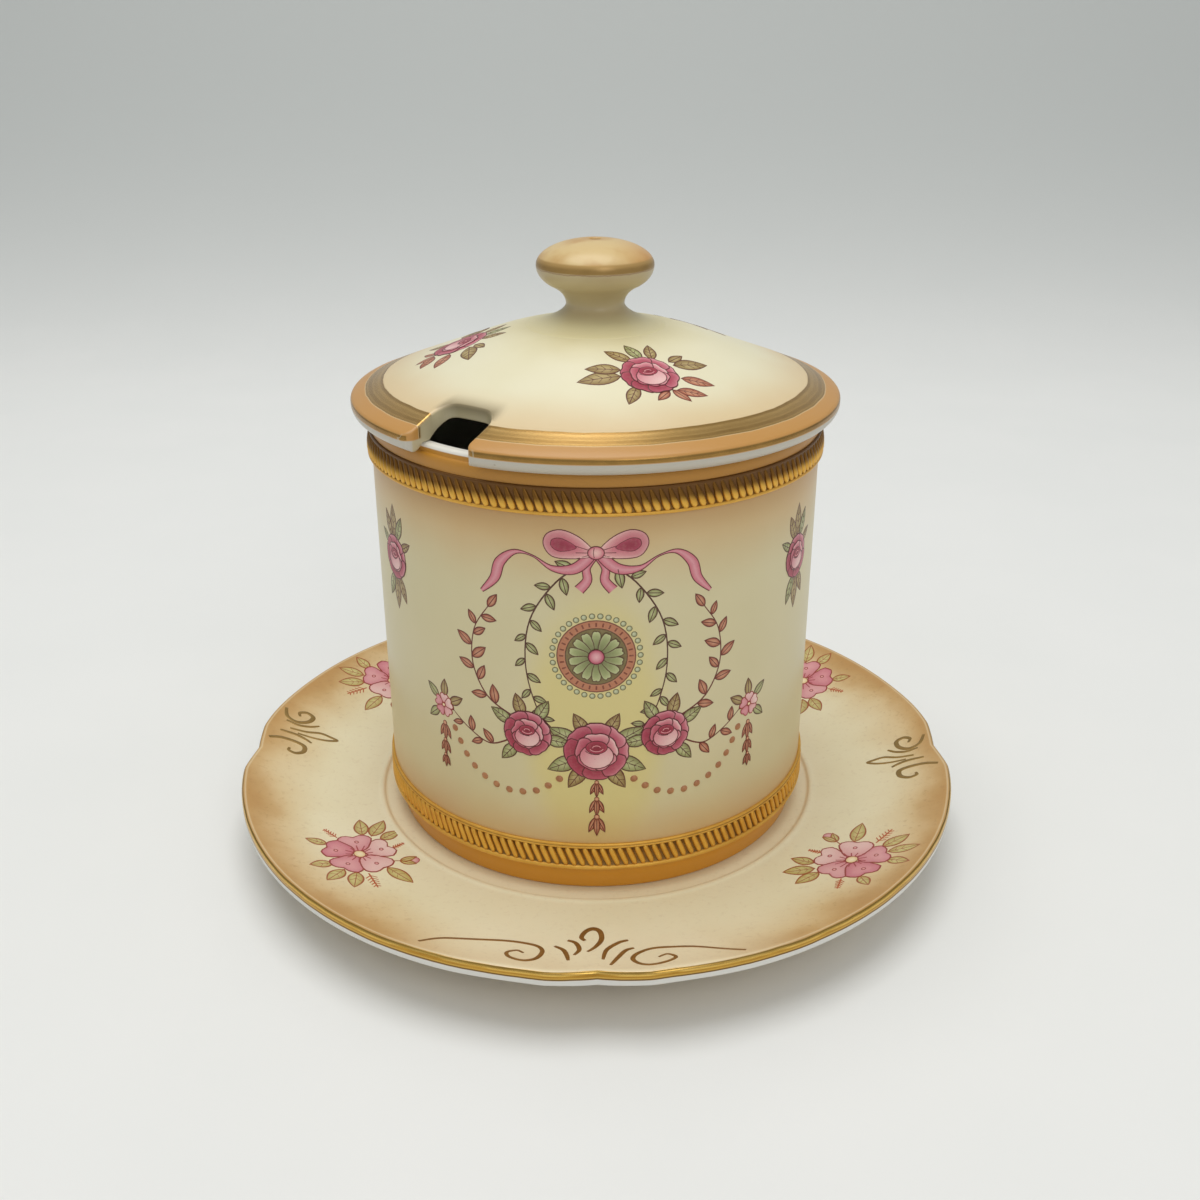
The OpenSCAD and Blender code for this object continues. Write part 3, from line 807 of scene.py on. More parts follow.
# %% [markdown]
# ## The lid
# The lid is turned first as if it had no notch: crown, straight flank, flat gilt ring and drooping
# edge. The functions for its two surfaces are kept, since the notch and the painted sprigs have to
# follow them. The ring underneath, which sits in the mouth, is a shape of its own that sinks into
# the lid, because it stops short of the notch on both sides.


# %% The lid's two surfaces
def crown_drop(r):
    """How far the crown has fallen at this radius."""
    return DOME_CURVE - math.sqrt(DOME_CURVE * DOME_CURVE - r * r)


FLANK_SLOPE = DOME_SHOULDER / math.sqrt(DOME_CURVE**2 - DOME_SHOULDER**2)
DOME_H = RING_IN_H + FLANK_SLOPE * (RING_IN_R - DOME_SHOULDER) + crown_drop(DOME_SHOULDER)


def lid_top(r):
    """Height of the lid's upper surface over its seat."""
    if r < DOME_SHOULDER:
        return DOME_H - crown_drop(r)
    if r < RING_IN_R:
        return RING_IN_H + FLANK_SLOPE * (RING_IN_R - r)
    if r < RING_OUT_R:
        return RING_IN_H - (r - RING_IN_R) * (RING_IN_H - RING_OUT_H) / (RING_OUT_R - RING_IN_R)
    return RING_OUT_H - (r - RING_OUT_R) * 0.36


def lid_under(r):
    """Height of the lid's lower surface over its seat."""
    if r < FLANGE_IN_R:
        return lid_top(r) - LID_UPRIGHT_T
    if r < SEAT_IN_R:
        return (lid_top(FLANGE_IN_R) - LID_UPRIGHT_T) * (SEAT_IN_R - r) / (SEAT_IN_R - FLANGE_IN_R)
    if r < SEAT_OUT_R:
        return 0.0
    return max(-1.1, -0.85 * (r - SEAT_OUT_R))


# %% Turn the lid
crown_rows = [(r, lid_top(r)) for r in [9.8 + 0.6 * i for i in range(50)] if r < 39.6]
under_rows = [(r, lid_under(r)) for r in [1.0 * i for i in range(37)]]
lid_profile = (
    under_rows
    + [(r, lid_under(r)) for r in (FLANGE_IN_R, 38.9)]
    + [(40.6, 0.25), (SEAT_IN_R, 0.06), (41.2, 0.0), (SEAT_OUT_R, 0.0)]
    + bend((43.9, -0.95), (44.4, -1.28), (45.0, -1.05), 6)
    + bend((45.35, -0.88), (46.4, -0.25), (46.5, 0.95), 10)
    + bend((46.5, 1.5), (46.5, 2.1), (45.9, 2.45), 8)
    + [(44.8, 2.88)]
    + bend((44.5, 3.0), (44.2, 3.12), (43.8, 3.27), 5)
    + bend((40.7, 4.5), (40.2, 4.72), (39.7, 4.88), 6)
    + crown_rows[::-1]
    + [(9.6, lid_top(9.8)), (0, lid_top(9.8))]
)
lid = turn_piece("Lid", lid_profile, 300, lid_glaze, 1.6, LIP_Z)

# %% Turn the ring underneath
ring_profile = (
    [(FLANGE_IN_R, 3.5), (FLANGE_IN_R, 0.5), (FLANGE_IN_R, FLANGE_LOW)]
    + arc((FLANGE_IN_R + 0.5, FLANGE_LOW), 0.5, 180, 270, 5)
    + arc((FLANGE_OUT_R - 0.5, FLANGE_LOW), 0.5, -90, 0, 5)
    + [(FLANGE_OUT_R, -0.6), (FLANGE_OUT_R, 1.5), (FLANGE_IN_R, 3.5)]
)
lid_ring = turn_piece("Lid_ring", ring_profile, 300, lid_glaze, 1.6, LIP_Z)

# %% [markdown]
# The spoon notch was cut in the leather-hard clay and its edges wiped with a sponge. A plain prism
# would leave razor edges, so the cutter flares outwards where it meets the top and the underside.
# That flare follows both surfaces along the notch, and leaves edges about half a millimetre round.

# %% Notch sizes and its outline seen from above
NOTCH_HALF = 6.15
NOTCH_END = 36.4
NOTCH_TURN = -90 - 35.5
LEAD_R, NOTCH_ROUND = 1.8, 3.4
corner_x = math.sqrt(LID_R**2 - (NOTCH_HALF + LEAD_R) ** 2) - LEAD_R


def notch_outline():
    """Half of the outline, from the open air to the middle of the notch's end."""
    half = [(corner_x + 5.5, -NOTCH_HALF - LEAD_R), (corner_x + 3.0, -NOTCH_HALF - LEAD_R)]
    half += arc((corner_x, -NOTCH_HALF - LEAD_R), LEAD_R, 0, 90, 8)
    half += [(corner_x - t, -NOTCH_HALF) for t in (1.2, 2.4, 3.6)]
    half += arc((NOTCH_END + NOTCH_ROUND, NOTCH_ROUND - NOTCH_HALF), NOTCH_ROUND, 270, 180, 10)
    half += [(NOTCH_END, -1.4)]
    return half + [(x, -y) for x, y in half[::-1]]


# %% Build the cutter and cut
FLARE = 0.55
BLOCK_SIZE, BLOCK_OUT = (19.9, 38.3, 12.0), 29.9


def notch_cutter():
    path = close_steps(notch_outline(), 0.8)
    columns = []
    for i, (x, y) in enumerate(path):
        out_x, out_y = left_of(path, i)
        section = []
        for side, surface in ((-1, lid_under), (1, lid_top)):
            turns = [math.radians(a) for a in (0, 18, 36, 54, 70)]
            half = [(FLARE * (1 - math.cos(a)), FLARE * (1 - math.sin(a))) for a in turns]
            half.append((half[-1][0] + 0.9, half[-1][1] - 0.33))
            rows = []
            for push, lift in half:
                px, py = x + out_x * push, y + out_y * push
                r = min(math.hypot(px, py), LID_R)
                rows.append((px, py, surface(r) - side * lift))
            px, py, z = rows[-1]
            rows.append((px, py, side * 22.0))
            section += rows if side > 0 else rows[::-1]
        columns.append(section)
    verts = [(x * MM, y * MM, (z + LIP_Z) * MM) for section in columns for x, y, z in section]
    deep = len(columns[0])
    count = len(columns)
    faces = [
        (i * deep + k, (i + 1) % count * deep + k, (i + 1) % count * deep + k + 1, i * deep + k + 1)
        for i in range(count) for k in range(deep - 1)
    ]
    faces.append([i * deep for i in range(count)][::-1])
    faces.append([i * deep + deep - 1 for i in range(count)])
    mesh = bpy.data.meshes.new("Notch cutter")
    mesh.from_pydata(verts, [], faces)
    point_outwards(mesh)
    mesh.transform(turned_by(NOTCH_TURN, "Z"))
    return mesh


def flange_cutter():
    """A block that clears the locating ring on both sides of the notch."""
    work = bmesh.new()
    bmesh.ops.create_cube(work, size=1.0)
    bmesh.ops.scale(work, vec=[side * MM for side in BLOCK_SIZE], verts=work.verts)
    bmesh.ops.translate(work, vec=(BLOCK_OUT * MM, 0, LIP_Z * MM), verts=work.verts)
    mesh = bpy.data.meshes.new("Flange cutter")
    work.to_mesh(mesh)
    work.free()
    mesh.transform(turned_by(NOTCH_TURN, "Z"))
    return mesh


def cut(piece, cutter_mesh):
    cutter = add_object("Cutter", cutter_mesh)
    boolean = piece.modifiers.new("Cut", "BOOLEAN")
    boolean.operation = "DIFFERENCE"
    boolean.solver = "EXACT"
    boolean.object = cutter
    depsgraph = bpy.context.evaluated_depsgraph_get()
    made = bpy.data.meshes.new_from_object(piece.evaluated_get(depsgraph), depsgraph=depsgraph)
    piece.modifiers.remove(boolean)
    piece.data = made
    made.materials.clear()
    made.materials.append(lid_glaze)
    for face in made.polygons:
        face.material_index = 0
    smooth_faces(made)
    bpy.data.objects.remove(cutter)


cut(lid, notch_cutter())
cut(lid_ring, flange_cutter())
lid_ring.data.set_sharp_from_angle(angle=math.radians(42))

# %% Mark the top side, the notch wall, and the notch's stain and painted shade
TOP_DEPTH, EDGE_R, STAIN_AND_SHADE_REACH = 0.12, 45.6, 2.2

marks = ("Top side", "Notch wall", "Stain and shade")
for mark_name in marks:
    lid.data.attributes.new(mark_name, "FLOAT", "POINT")
top_side, notch_wall, stain_and_shade = (lid.data.attributes[mark_name].data for mark_name in marks)
turn_back = Matrix.Rotation(-math.radians(NOTCH_TURN), 3, "Z")
for i, vertex in enumerate(lid.data.vertices):
    r = math.hypot(vertex.co.x, vertex.co.y) / MM
    height = vertex.co.z / MM - LIP_Z
    along, aside = (turn_back @ vertex.co).xy / MM
    depth = lid_top(r) - height
    past_corner = min(LEAD_R, max(0.0, along - corner_x))
    half_width = NOTCH_HALF + LEAD_R - math.sqrt(LEAD_R**2 - past_corner**2) + 0.6
    beside_notch = along > NOTCH_END - 0.8 and abs(aside) < half_width
    if depth < TOP_DEPTH or (r > EDGE_R and height > 0.8 and not beside_notch):
        top_side[i].value = 1.0
    elif beside_notch and height > lid_under(r) + 0.05:
        top_side[i].value = max(0.0, 1 - depth / 0.6)
        notch_wall[i].value = 1.0
    # The notch's walls and the dome just behind its end are marked for darker paint: partly a glaze stain,
    # partly painted shade.
    if beside_notch and along < NOTCH_END + STAIN_AND_SHADE_REACH and depth > 0.05:
        fade = 1 - max(0.0, along - NOTCH_END) / STAIN_AND_SHADE_REACH
        stain_and_shade[i].value = fade * max(0.25, 1 - max(0.0, depth - 0.4) / 2.4)
    elif depth < TOP_DEPTH:
        inwards = max(0.0, NOTCH_END + 1.5 - along)
        sideways = max(0.0, abs(aside) - NOTCH_HALF + 1.2)
        away = math.hypot(inwards, 2.0 * sideways) - 1.5
        if along < NOTCH_END + 2.0:
            stain_and_shade[i].value = 0.75 * max(0.0, 1 - max(0.0, away) / 3.2) ** 1.5
lid.data.set_sharp_from_angle(angle=math.radians(42))
stained_and_shaded_points = sum(mark.value > 0.3 for mark in stain_and_shade)
print("Lid:", len(lid.data.polygons), "faces after the notch,", stained_and_shaded_points, "stained points")

# %% [markdown]
# ## The knob
# The knob is a hollow mushroom. Its section is one closed line: up the outside from the foot, over
# the cap to the vent hole, down through the hole and back down the hollow. So a small dark hole
# shows in the crown, as it does on the real one.

# %% Turn the knob
KNOB_R, KNOB_EQ, KNOB_H, NECK_R = 11.0, 10.5, 15.2, 5.5
BORE_R, HOLLOW_R, HOLLOW_RISE, VENT_R = 3.3, 8.8, 2.5, 1.0
CAP_H = KNOB_H - KNOB_EQ
knob_profile = (
    [(BORE_R, -0.02), (10.0, -0.05), (13.3, -0.66)]
    + bend((13.2, -0.56), (10.6, -0.04), (8.6, 0.85), 8)
    + bend((8.6, 0.85), (5.9, 2.05), (NECK_R, 3.3), 14)
    + bend((NECK_R, 3.3), (NECK_R, 5.54), (8.63, 6.93), 14)
    + bend((8.63, 6.93), (KNOB_R, 8.36), (KNOB_R, KNOB_EQ), 14)
    + arc((0, KNOB_EQ), KNOB_R, 4, 76, 18, CAP_H)
    + [(VENT_R + 0.5, KNOB_H - 0.05), (VENT_R + 0.15, KNOB_H - 0.12), (VENT_R, KNOB_H - 0.35)]
    + [(VENT_R, KNOB_EQ + HOLLOW_RISE)]
    + arc((0, KNOB_EQ), HOLLOW_R, 80, 0, 8, HOLLOW_RISE)
    + bend((HOLLOW_R, 10.2), (8.6, 9.13), (BORE_R, 9.13), 8)
    + [(BORE_R, -0.02)]
)
knob = turn_piece("Knob", knob_profile, 128, knob_glaze, rise=KNOB_Z)

# %% [markdown]
# ## The underplate
# The plate is turned like the rest, and a second small tree then presses its rim: at four places
# the rim dips in and down, and a soft fold runs from each dip towards the well. Before that, each
# point is marked with its distance from the rim, so that the gold can follow the lobed edge.

# %% The tree that presses the rim
EULER = 2.718

press, pin, pout = new_group(
    "Press the lobed rim", "GeometryNodeTree",
    [("Geometry", "NodeSocketGeometry", None), ("Rim radius", "NodeSocketFloat", RIM_R * MM),
     ("Dip", "NodeSocketFloat", DIP * MM), ("Dip turn", "NodeSocketFloat", DIP_TURN),
     ("Fold", "NodeSocketFloat", -FOLD * MM), ("Fold starts", "NodeSocketFloat", FOLD_FROM * MM)],
    [("Geometry", "NodeSocketGeometry")],
)
position = place(press, "GeometryNodeInputPosition").outputs[0]
spot = place(press, "ShaderNodeSeparateXYZ", {0: position}).outputs
radius = from_axis(press, spot)
angle = times(press, reckon(press, "ARCTAN2", spot[1], spot[0]), 180 / math.pi)
quarter = reckon(press, "FLOORED_MODULO", reckon(press, "ADD", angle, 45.0), 90.0)
aside = reckon(press, "ABSOLUTE", reckon(press, "SUBTRACT", quarter, 45.0))
share = reckon(press, "DIVIDE", aside, pin["Dip turn"])
bowl = reckon(press, "MAXIMUM", reckon(press, "SUBTRACT", 1.0, share), 0.0)
outside = soft_step(press, radius, pin["Fold starts"], pin["Rim radius"])
pull = times(press, times(press, bowl, outside), pin["Dip"])
shrink = reckon(press, "SUBTRACT", 1.0, reckon(press, "DIVIDE", pull, radius))
ridge = reckon(press, "POWER", EULER, times(press, times(press, share, share), -RIDGE_FALL))
beside = reckon(press, "POWER", reckon(press, "SUBTRACT", share, GROOVE_AT), 2.0)
groove = reckon(press, "POWER", EULER, times(press, beside, -GROOVE_FALL))
wave = reckon(press, "SUBTRACT", ridge, times(press, groove, GROOVE_SHARE))
lift = times(press, times(press, wave, pin["Fold"]), outside)
moved = joined(press, times(press, spot[0], shrink), times(press, spot[1], shrink),
               reckon(press, "ADD", spot[2], lift))
pressed_rim = place(press, "GeometryNodeSetPosition", {"Geometry": pin["Geometry"], "Position": moved})
press.links.new(pressed_rim.outputs[0], pout["Geometry"])

# %% Turn and press the underplate
RIM_IN_R = RIM_R - 0.65
STEP_Z = WELL_Z + 0.5

upper_line = bend((RIM_IN_R, RIM_Z), (58.7, STEP_Z), (46.9, STEP_Z), 40)
lower_line = bend((45.36, 3.6), (60.4, 3.4), (RIM_IN_R, RIM_Z - 3.1), 30)
plate_profile = (
    [(0, 3.6), (39.3, 3.6), (39.9, 3.3), (41.0, 0.5)]
    + arc((41.6, 0.4), 0.4, 190, 270, 4)
    + arc((43.0, 0.4), 0.4, -90, -10, 4)
    + [(44.4, 2.9), (44.7, 3.4)]
    + lower_line
    + arc((RIM_R - 0.75, RIM_Z - 2.35), 0.75, -60, 0, 5)
    + arc((RIM_R - 0.75, RIM_Z - 0.75), 0.75, 0, 70, 6)
    + upper_line[1:-2]
    + bend((47.3, WELL_Z + 0.51), (46.6, WELL_Z + 0.75), (46.1, STEP_Z), 8)
    + bend((45.9, WELL_Z + 0.3), (45.7, WELL_Z), (45.2, WELL_Z), 6)
    + [(0, WELL_Z)]
)
plate_turned = turn_piece("Plate_turned", plate_profile, 480, plate_glaze, 1.8)


def plate_top(r):
    """Height of the turned plate's upper surface, read off the same line that was turned."""
    for (r1, z1), (r0, z0) in zip(upper_line, upper_line[1:]):
        if r0 <= r <= r1:
            return z0 + (z1 - z0) * (r - r0) / (r1 - r0)
    return RIM_Z if r > RIM_IN_R else STEP_Z


from_rim = plate_turned.data.attributes.new("From rim", "FLOAT", "POINT").data
for vertex, mark in zip(plate_turned.data.vertices, from_rim):
    r = math.hypot(vertex.co.x, vertex.co.y) / MM
    height = vertex.co.z / MM
    if height > plate_top(r) - 0.76:
        mark.value = RIM_R - r
    elif r > RIM_R - 1.0 and height > RIM_Z - 3.12:
        mark.value = height - (RIM_Z - 0.75)
    else:
        mark.value = -3.0
underplate = run_tree("Underplate", press, plate_turned.data, {})
bpy.data.objects.remove(plate_turned)
underplate.data.materials.clear()
underplate.data.materials.append(plate_glaze)
print("Underplate:", len(underplate.data.polygons), "faces")

# %% [markdown]
# ## Painting on china
# The sprigs were printed in outline, coloured by hand and fired onto the glaze, so they are thin
# skins that lie on the surface. Each design is drawn flat, in millimetres, from filled shapes and
# brush strokes, each a hair's breadth above the one before. Only then is the drawing bent onto the
# china. The colours are stored on the points, as a painter would grade them from heart to edge.

# %% Enamel colours
ROSE_DEEP = (142, 22, 48)
ROSE_MID = (184, 72, 94)
ROSE_LIGHT = (234, 178, 180)
ROSE_PALE = (254, 240, 224)
ROSE_LINE = (90, 14, 24)
LEAF_PAINTS = {
    "green": ((212, 214, 160), (140, 146, 86), (82, 42, 22)),
    "olive": ((208, 190, 134), (142, 118, 62), (94, 40, 22)),
    "brown": ((226, 178, 142), (168, 92, 62), (102, 34, 20)),
    "lime": ((224, 216, 154), (190, 178, 104), (162, 84, 34)),
}
LAYER = 0.009
SUNK = -0.02


def blend_paint(a, b, share):
    return tuple(x + (y - x) * share for x, y in zip(a, b))


def between(guides, steps):
    """Points from the second of four guides towards the third, on a line that flows through all."""
    return [tuple(
        0.5 * (2 * b + (c - a) * t + (2 * a - 5 * b + 4 * c - d) * t * t + (3 * b - a - 3 * c + d) * t**3)
        for a, b, c, d in zip(*guides)
    ) for t in (k / steps for k in range(steps))]


def flow(points, steps=6):
    """A smooth line through the given points."""
    ends = [points[0], *points, points[-1]]
    line = []
    for i in range(len(ends) - 3):
        line += between(ends[i:i + 4], steps)
    return line + [tuple(points[-1])]


def ring_of(points, steps=4):
    """A smooth closed outline through the given points."""
    line = []
    for i in range(len(points)):
        line += between([points[(i + k - 1) % len(points)] for k in range(4)], steps)
    return line


def mirrored(side, points, x=0, y=0):
    """Points drawn for the right side, moved to a place, and turned over if side is -1."""
    return [(x + side * a, y + b) for a, b in points]


def heading(angle):
    """The direction of an angle in degrees."""
    a = math.radians(angle)
    return math.cos(a), math.sin(a)


# %% [markdown]
# Shapes that overlap must not lie at one height, or they would flicker through each other. So the
# drawing keeps a grid of small cells that remembers how many coats lie where, and each new shape
# goes one coat above the deepest paint under it.

# %% Cells that a shape covers
CELL = 0.4


def cell_at(x, y):
    return math.floor(x / CELL), math.floor(y / CELL)


def cells_inside(outline):
    cells = {cell_at(x, y) for x, y in outline}
    columns = [c[0] for c in cells]
    rows = [c[1] for c in cells]
    for j in range(min(rows), max(rows) + 1):
        y = (j + 0.5) * CELL
        crossings = []
        for (x0, y0), (x1, y1) in zip(outline, outline[1:] + outline[:1]):
            if (y0 > y) != (y1 > y):
                crossings.append(x0 + (y - y0) * (x1 - x0) / (y1 - y0))
        crossings.sort()
        for left, right in zip(crossings[::2], crossings[1::2]):
            first = max(min(columns), math.floor(left / CELL))
            last = min(max(columns), math.floor(right / CELL))
            cells.update((i, j) for i in range(first, last + 1))
    return cells


def cells_along(path):
    cells = set()
    for (x0, y0), (x1, y1) in zip(path, path[1:]):
        pieces = max(1, math.ceil(math.hypot(x1 - x0, y1 - y0) / (CELL / 2)))
        for i in range(pieces + 1):
            cells.add(cell_at(x0 + (x1 - x0) * i / pieces, y0 + (y1 - y0) * i / pieces))
    return cells


# %% The drawing
class Drawing:
    """Flat filled shapes and strokes, kept as points, faces and paints until they are bent on."""

    def __init__(self):
        self.points = []
        self.faces = []
        self.paints = []
        self.coats = {}

    def coat_over(self, cells):
        """One coat more than the deepest paint that already lies in these cells."""
        coat = 1 + max((self.coats.get(cell, 0) for cell in cells), default=0)
        for cell in cells:
            self.coats[cell] = coat
        return LAYER * coat

    def fill(self, outline, heart, core, rim, line=None, width=0.2, lean=None):
        """A shape graded from its heart to its rim, with a drawn outline. Lean tints one side."""
        height = self.coat_over(cells_inside(outline))
        line = line or rim
        first = len(self.points)
        count = len(outline)
        self.points.append((*heart, height))
        self.paints.append(self._leaning(core, heart, heart, lean))
        for step in range(6):
            for x, y in outline:
                reach = max(1e-6, math.hypot(x - heart[0], y - heart[1]))
                inner = max(0.3, 1 - width / reach)
                share = (0.5 * inner, 0.82 * inner, inner, min(1.0, inner + 0.02 / reach), 1.0, 1.0)[step]
                spot = (heart[0] + (x - heart[0]) * share, heart[1] + (y - heart[1]) * share)
                self.points.append((*spot, SUNK if step == 5 else height))
                if step < 3:
                    tone = blend_paint(core, rim, (0.25, 0.65, 1.0)[step])
                    self.paints.append(self._leaning(tone, spot, heart, lean))
                else:
                    self.paints.append(line)
        self.points.append((*heart, SUNK))
        self.paints.append(line)
        last = len(self.points) - 1
        for k in range(count):
            m = (k + 1) % count
            self.faces.append((first, first + 1 + k, first + 1 + m))
            for step in range(5):
                a = first + 1 + step * count
                self.faces.append((a + k, a + count + k, a + count + m, a + m))
            a = first + 1 + 5 * count
            self.faces.append((last, a + m, a + k))

    def _leaning(self, tone, spot, heart, lean):
        if not lean:
            return tone
        dx, dy, tint, reach, amount = lean
        share = 0.5 + ((spot[0] - heart[0]) * dx + (spot[1] - heart[1]) * dy) / reach
        return blend_paint(tone, tint, amount * min(1.0, max(0.0, share)))

    def stroke(self, path, width, paint, line=None, raised=0.0):
        """A brush line. Width is a number, or a function of the share along the line."""
        height = self.coat_over(cells_along(path)) + raised
        first = len(self.points)
        count = len(path)
        for i, (x, y) in enumerate(path):
            nx, ny = left_of(path, i)
            half = (width(i / (count - 1)) if callable(width) else width) / 2
            if line:
                edge = min(0.8, 0.16 / half)
                sheen = blend_paint(paint, (255, 240, 235), 0.35)
                row = [(-1, SUNK, line), (-1, height, line), (edge - 1, height, line),
                       (edge - 0.98, height, paint), (0, height, sheen), (0.98 - edge, height, paint),
                       (1 - edge, height, line), (1, height, line), (1, SUNK, line)]
            else:
                row = [(-1, SUNK, paint), (-0.8, height, paint), (0.8, height, paint), (1, SUNK, paint)]
            for across, rise, tone in row:
                self.points.append((x + nx * half * across, y + ny * half * across, rise))
                self.paints.append(tone)
        deep = len(row)
        for i in range(count - 1):
            a = first + i * deep
            for k in range(deep):
                m = (k + 1) % deep
                self.faces.append((a + k, a + deep + k, a + deep + m, a + m))
        self.faces.append(tuple(first + k for k in range(deep)))
        a = first + (count - 1) * deep
        self.faces.append(tuple(a + k for k in reversed(range(deep))))


# %% [markdown]
# Four surfaces take paint: the straight wall, the dome, the plate and its rim. Each is a function
# that takes a flat point, right and up in millimetres, with a height over the glaze, and gives the
# place in the model. On the plate the drawing follows the pressed rim, dip and fold included.


# %% Surfaces that take paint
def on_wall(turn):
    def place_at(x, y, lift):
        a = math.radians(turn) + x / WALL_R
        r = WALL_R + lift
        return (r * math.sin(a), -r * math.cos(a), y + WELL_Z)
    return place_at


def seen_from_above(turn, out, aside):
    """A place so far out in one direction from the axis and so far aside of it."""
    a = math.radians(turn)
    return out * math.sin(a) + aside * math.cos(a), -out * math.cos(a) + aside * math.sin(a)


def on_dome(turn, middle):
    def place_at(x, y, lift):
        px, py = seen_from_above(turn, middle - y, x)
        r = math.hypot(px, py)
        tilt = FLANK_SLOPE if r > DOME_SHOULDER else r / DOME_CURVE
        grow = 1 + lift * tilt / max(r, 1e-6)
        return (px * grow, py * grow, LIP_Z + lid_top(r) + lift)
    return place_at


def pressed(r, angle):
    """Where a point of the turned plate goes when the rim is pressed."""
    share = abs((angle + 45) % 90 - 45) / DIP_TURN
    t = min(1.0, max(0.0, (r - FOLD_FROM) / (RIM_R - FOLD_FROM)))
    outer = t * t * (3 - 2 * t)
    dip = max(0.0, 1 - share) * outer * DIP
    groove = GROOVE_SHARE * math.exp(-GROOVE_FALL * (share - GROOVE_AT) ** 2)
    wave = math.exp(-RIDGE_FALL * share * share) - groove
    return r - dip, -FOLD * wave * outer


def on_plate(turn, middle):
    """For sprigs that lie flat on the plate."""
    def place_at(x, y, lift):
        px, py = seen_from_above(turn, middle - y, x)
        r = math.hypot(px, py)
        dipped, raised = pressed(r, math.degrees(math.atan2(py, px)))
        return (px * dipped / r, py * dipped / r, plate_top(r) + raised + lift)
    return place_at


GILT_R, GILT_START_R = 70.0, 73.7


def on_rim(turn):
    """For gilt strokes that run along the rim: x follows the rim and y counts inwards from it."""
    def place_at(x, y, lift):
        a = turn - 90 + math.degrees(x / GILT_R)
        r = GILT_START_R - y
        dipped, raised = pressed(r, a)
        a = math.radians(a)
        return (dipped * math.cos(a), dipped * math.sin(a), plate_top(r) + raised + lift)
    return place_at


def bend_on(name, parts, glaze, body):
    """Bends one or more drawings onto their surfaces and makes them one painted skin."""
    points, faces, paints = [], [], []
    for drawing, surface in parts:
        first = len(points)
        points += [tuple(c * MM for c in surface(x, y, lift)) for x, y, lift in drawing.points]
        faces += [tuple(first + k for k in face) for face in drawing.faces]
        paints += drawing.paints
    mesh = bpy.data.meshes.new(name)
    mesh.from_pydata(points, [], faces)
    layer = mesh.color_attributes.new("Paint", "FLOAT_COLOR", "POINT")
    for mark, tone in zip(layer.data, paints):
        mark.color = colour(*tone)
    point_outwards(mesh, 0)
    smooth_faces(mesh)
    mesh.set_sharp_from_angle(angle=math.radians(50))
    mesh.materials.append(glaze)
    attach(add_object(name, mesh), body)
    print(name, "painted with", len(mesh.polygons), "faces")


# %% Enamel and gilt paste
enamel, tree, shader, mm, _ = new_glaze("Fired enamel")
paint = stored(tree, "Paint", "Color")
mottle = noise(tree, mm, 1.6, 4.0)
stipple = noise(tree, mm, 5.0, 2.0)
thin = soft_step(tree, mottle, 0.42, 0.75, 0.0, 0.05)
paint = over(tree, paint, (236, 224, 200), thin)
dark = soft_step(tree, stipple, 0.56, 0.72, 0.0, 0.15)
paint = over(tree, paint, (112, 52, 56), dark)
finish_glaze(tree, shader, paint, mottle, 0.36)

gilt_paste, tree, shader, mm, _ = new_glaze("Gilt pencil lines")
gilt = effect(tree, brushed_gilt, mm, Rubbed=0.35)
paint = stored(tree, "Paint", "Color")
paint = over(tree, paint, (204, 160, 92), gilt["Tone"], 0.5)
finish_glaze(tree, shader, paint, gilt["Tone"], gilt["Roughness"], 0.35)

# %% [markdown]
# ## Flowers and leaves
# A rose is drawn as the enameller built it: eight outer petals, five inner ones, a pale bowl in
# front and a deep heart above it. One side of the flower is deeper, as if it lay in shade. Leaves
# are pointed ovals with a midrib and a few veins, lighter on one half. Small seeded differences keep
# two roses from being the same.


# %% A petal and a leaf
def petal(drawing, x, y, angle, distance, length, width, core, rim, rng, deep=ROSE_DEEP, line=ROSE_LINE,
          amount=0.7, edge=0.22, ruffle=0.0, notch=0.0):
    ux, uy = heading(angle)
    heart = (x + ux * distance, y + uy * distance)
    dent = notch + rng.uniform(0.04, 0.13)
    outline = []
    for k in range(20):
        p = 2 * math.pi * k / 20
        q = math.atan2(math.sin(p), math.cos(p))
        along = length / 2 * math.cos(p) - dent * length * math.exp(-((q / 0.35) ** 2))
        aside = width / 2 * math.sin(p) * (1 + 0.25 * math.cos(p))
        wobble = 1 + rng.uniform(-0.03, 0.03) + ruffle * math.cos(5 * p)
        px, py = ux * along - uy * aside, uy * along + ux * aside
        outline.append((heart[0] + px * wobble, heart[1] + py * wobble))
    drawing.fill(outline, heart, core, rim, line, edge, (-ux, -uy, deep, length, amount))


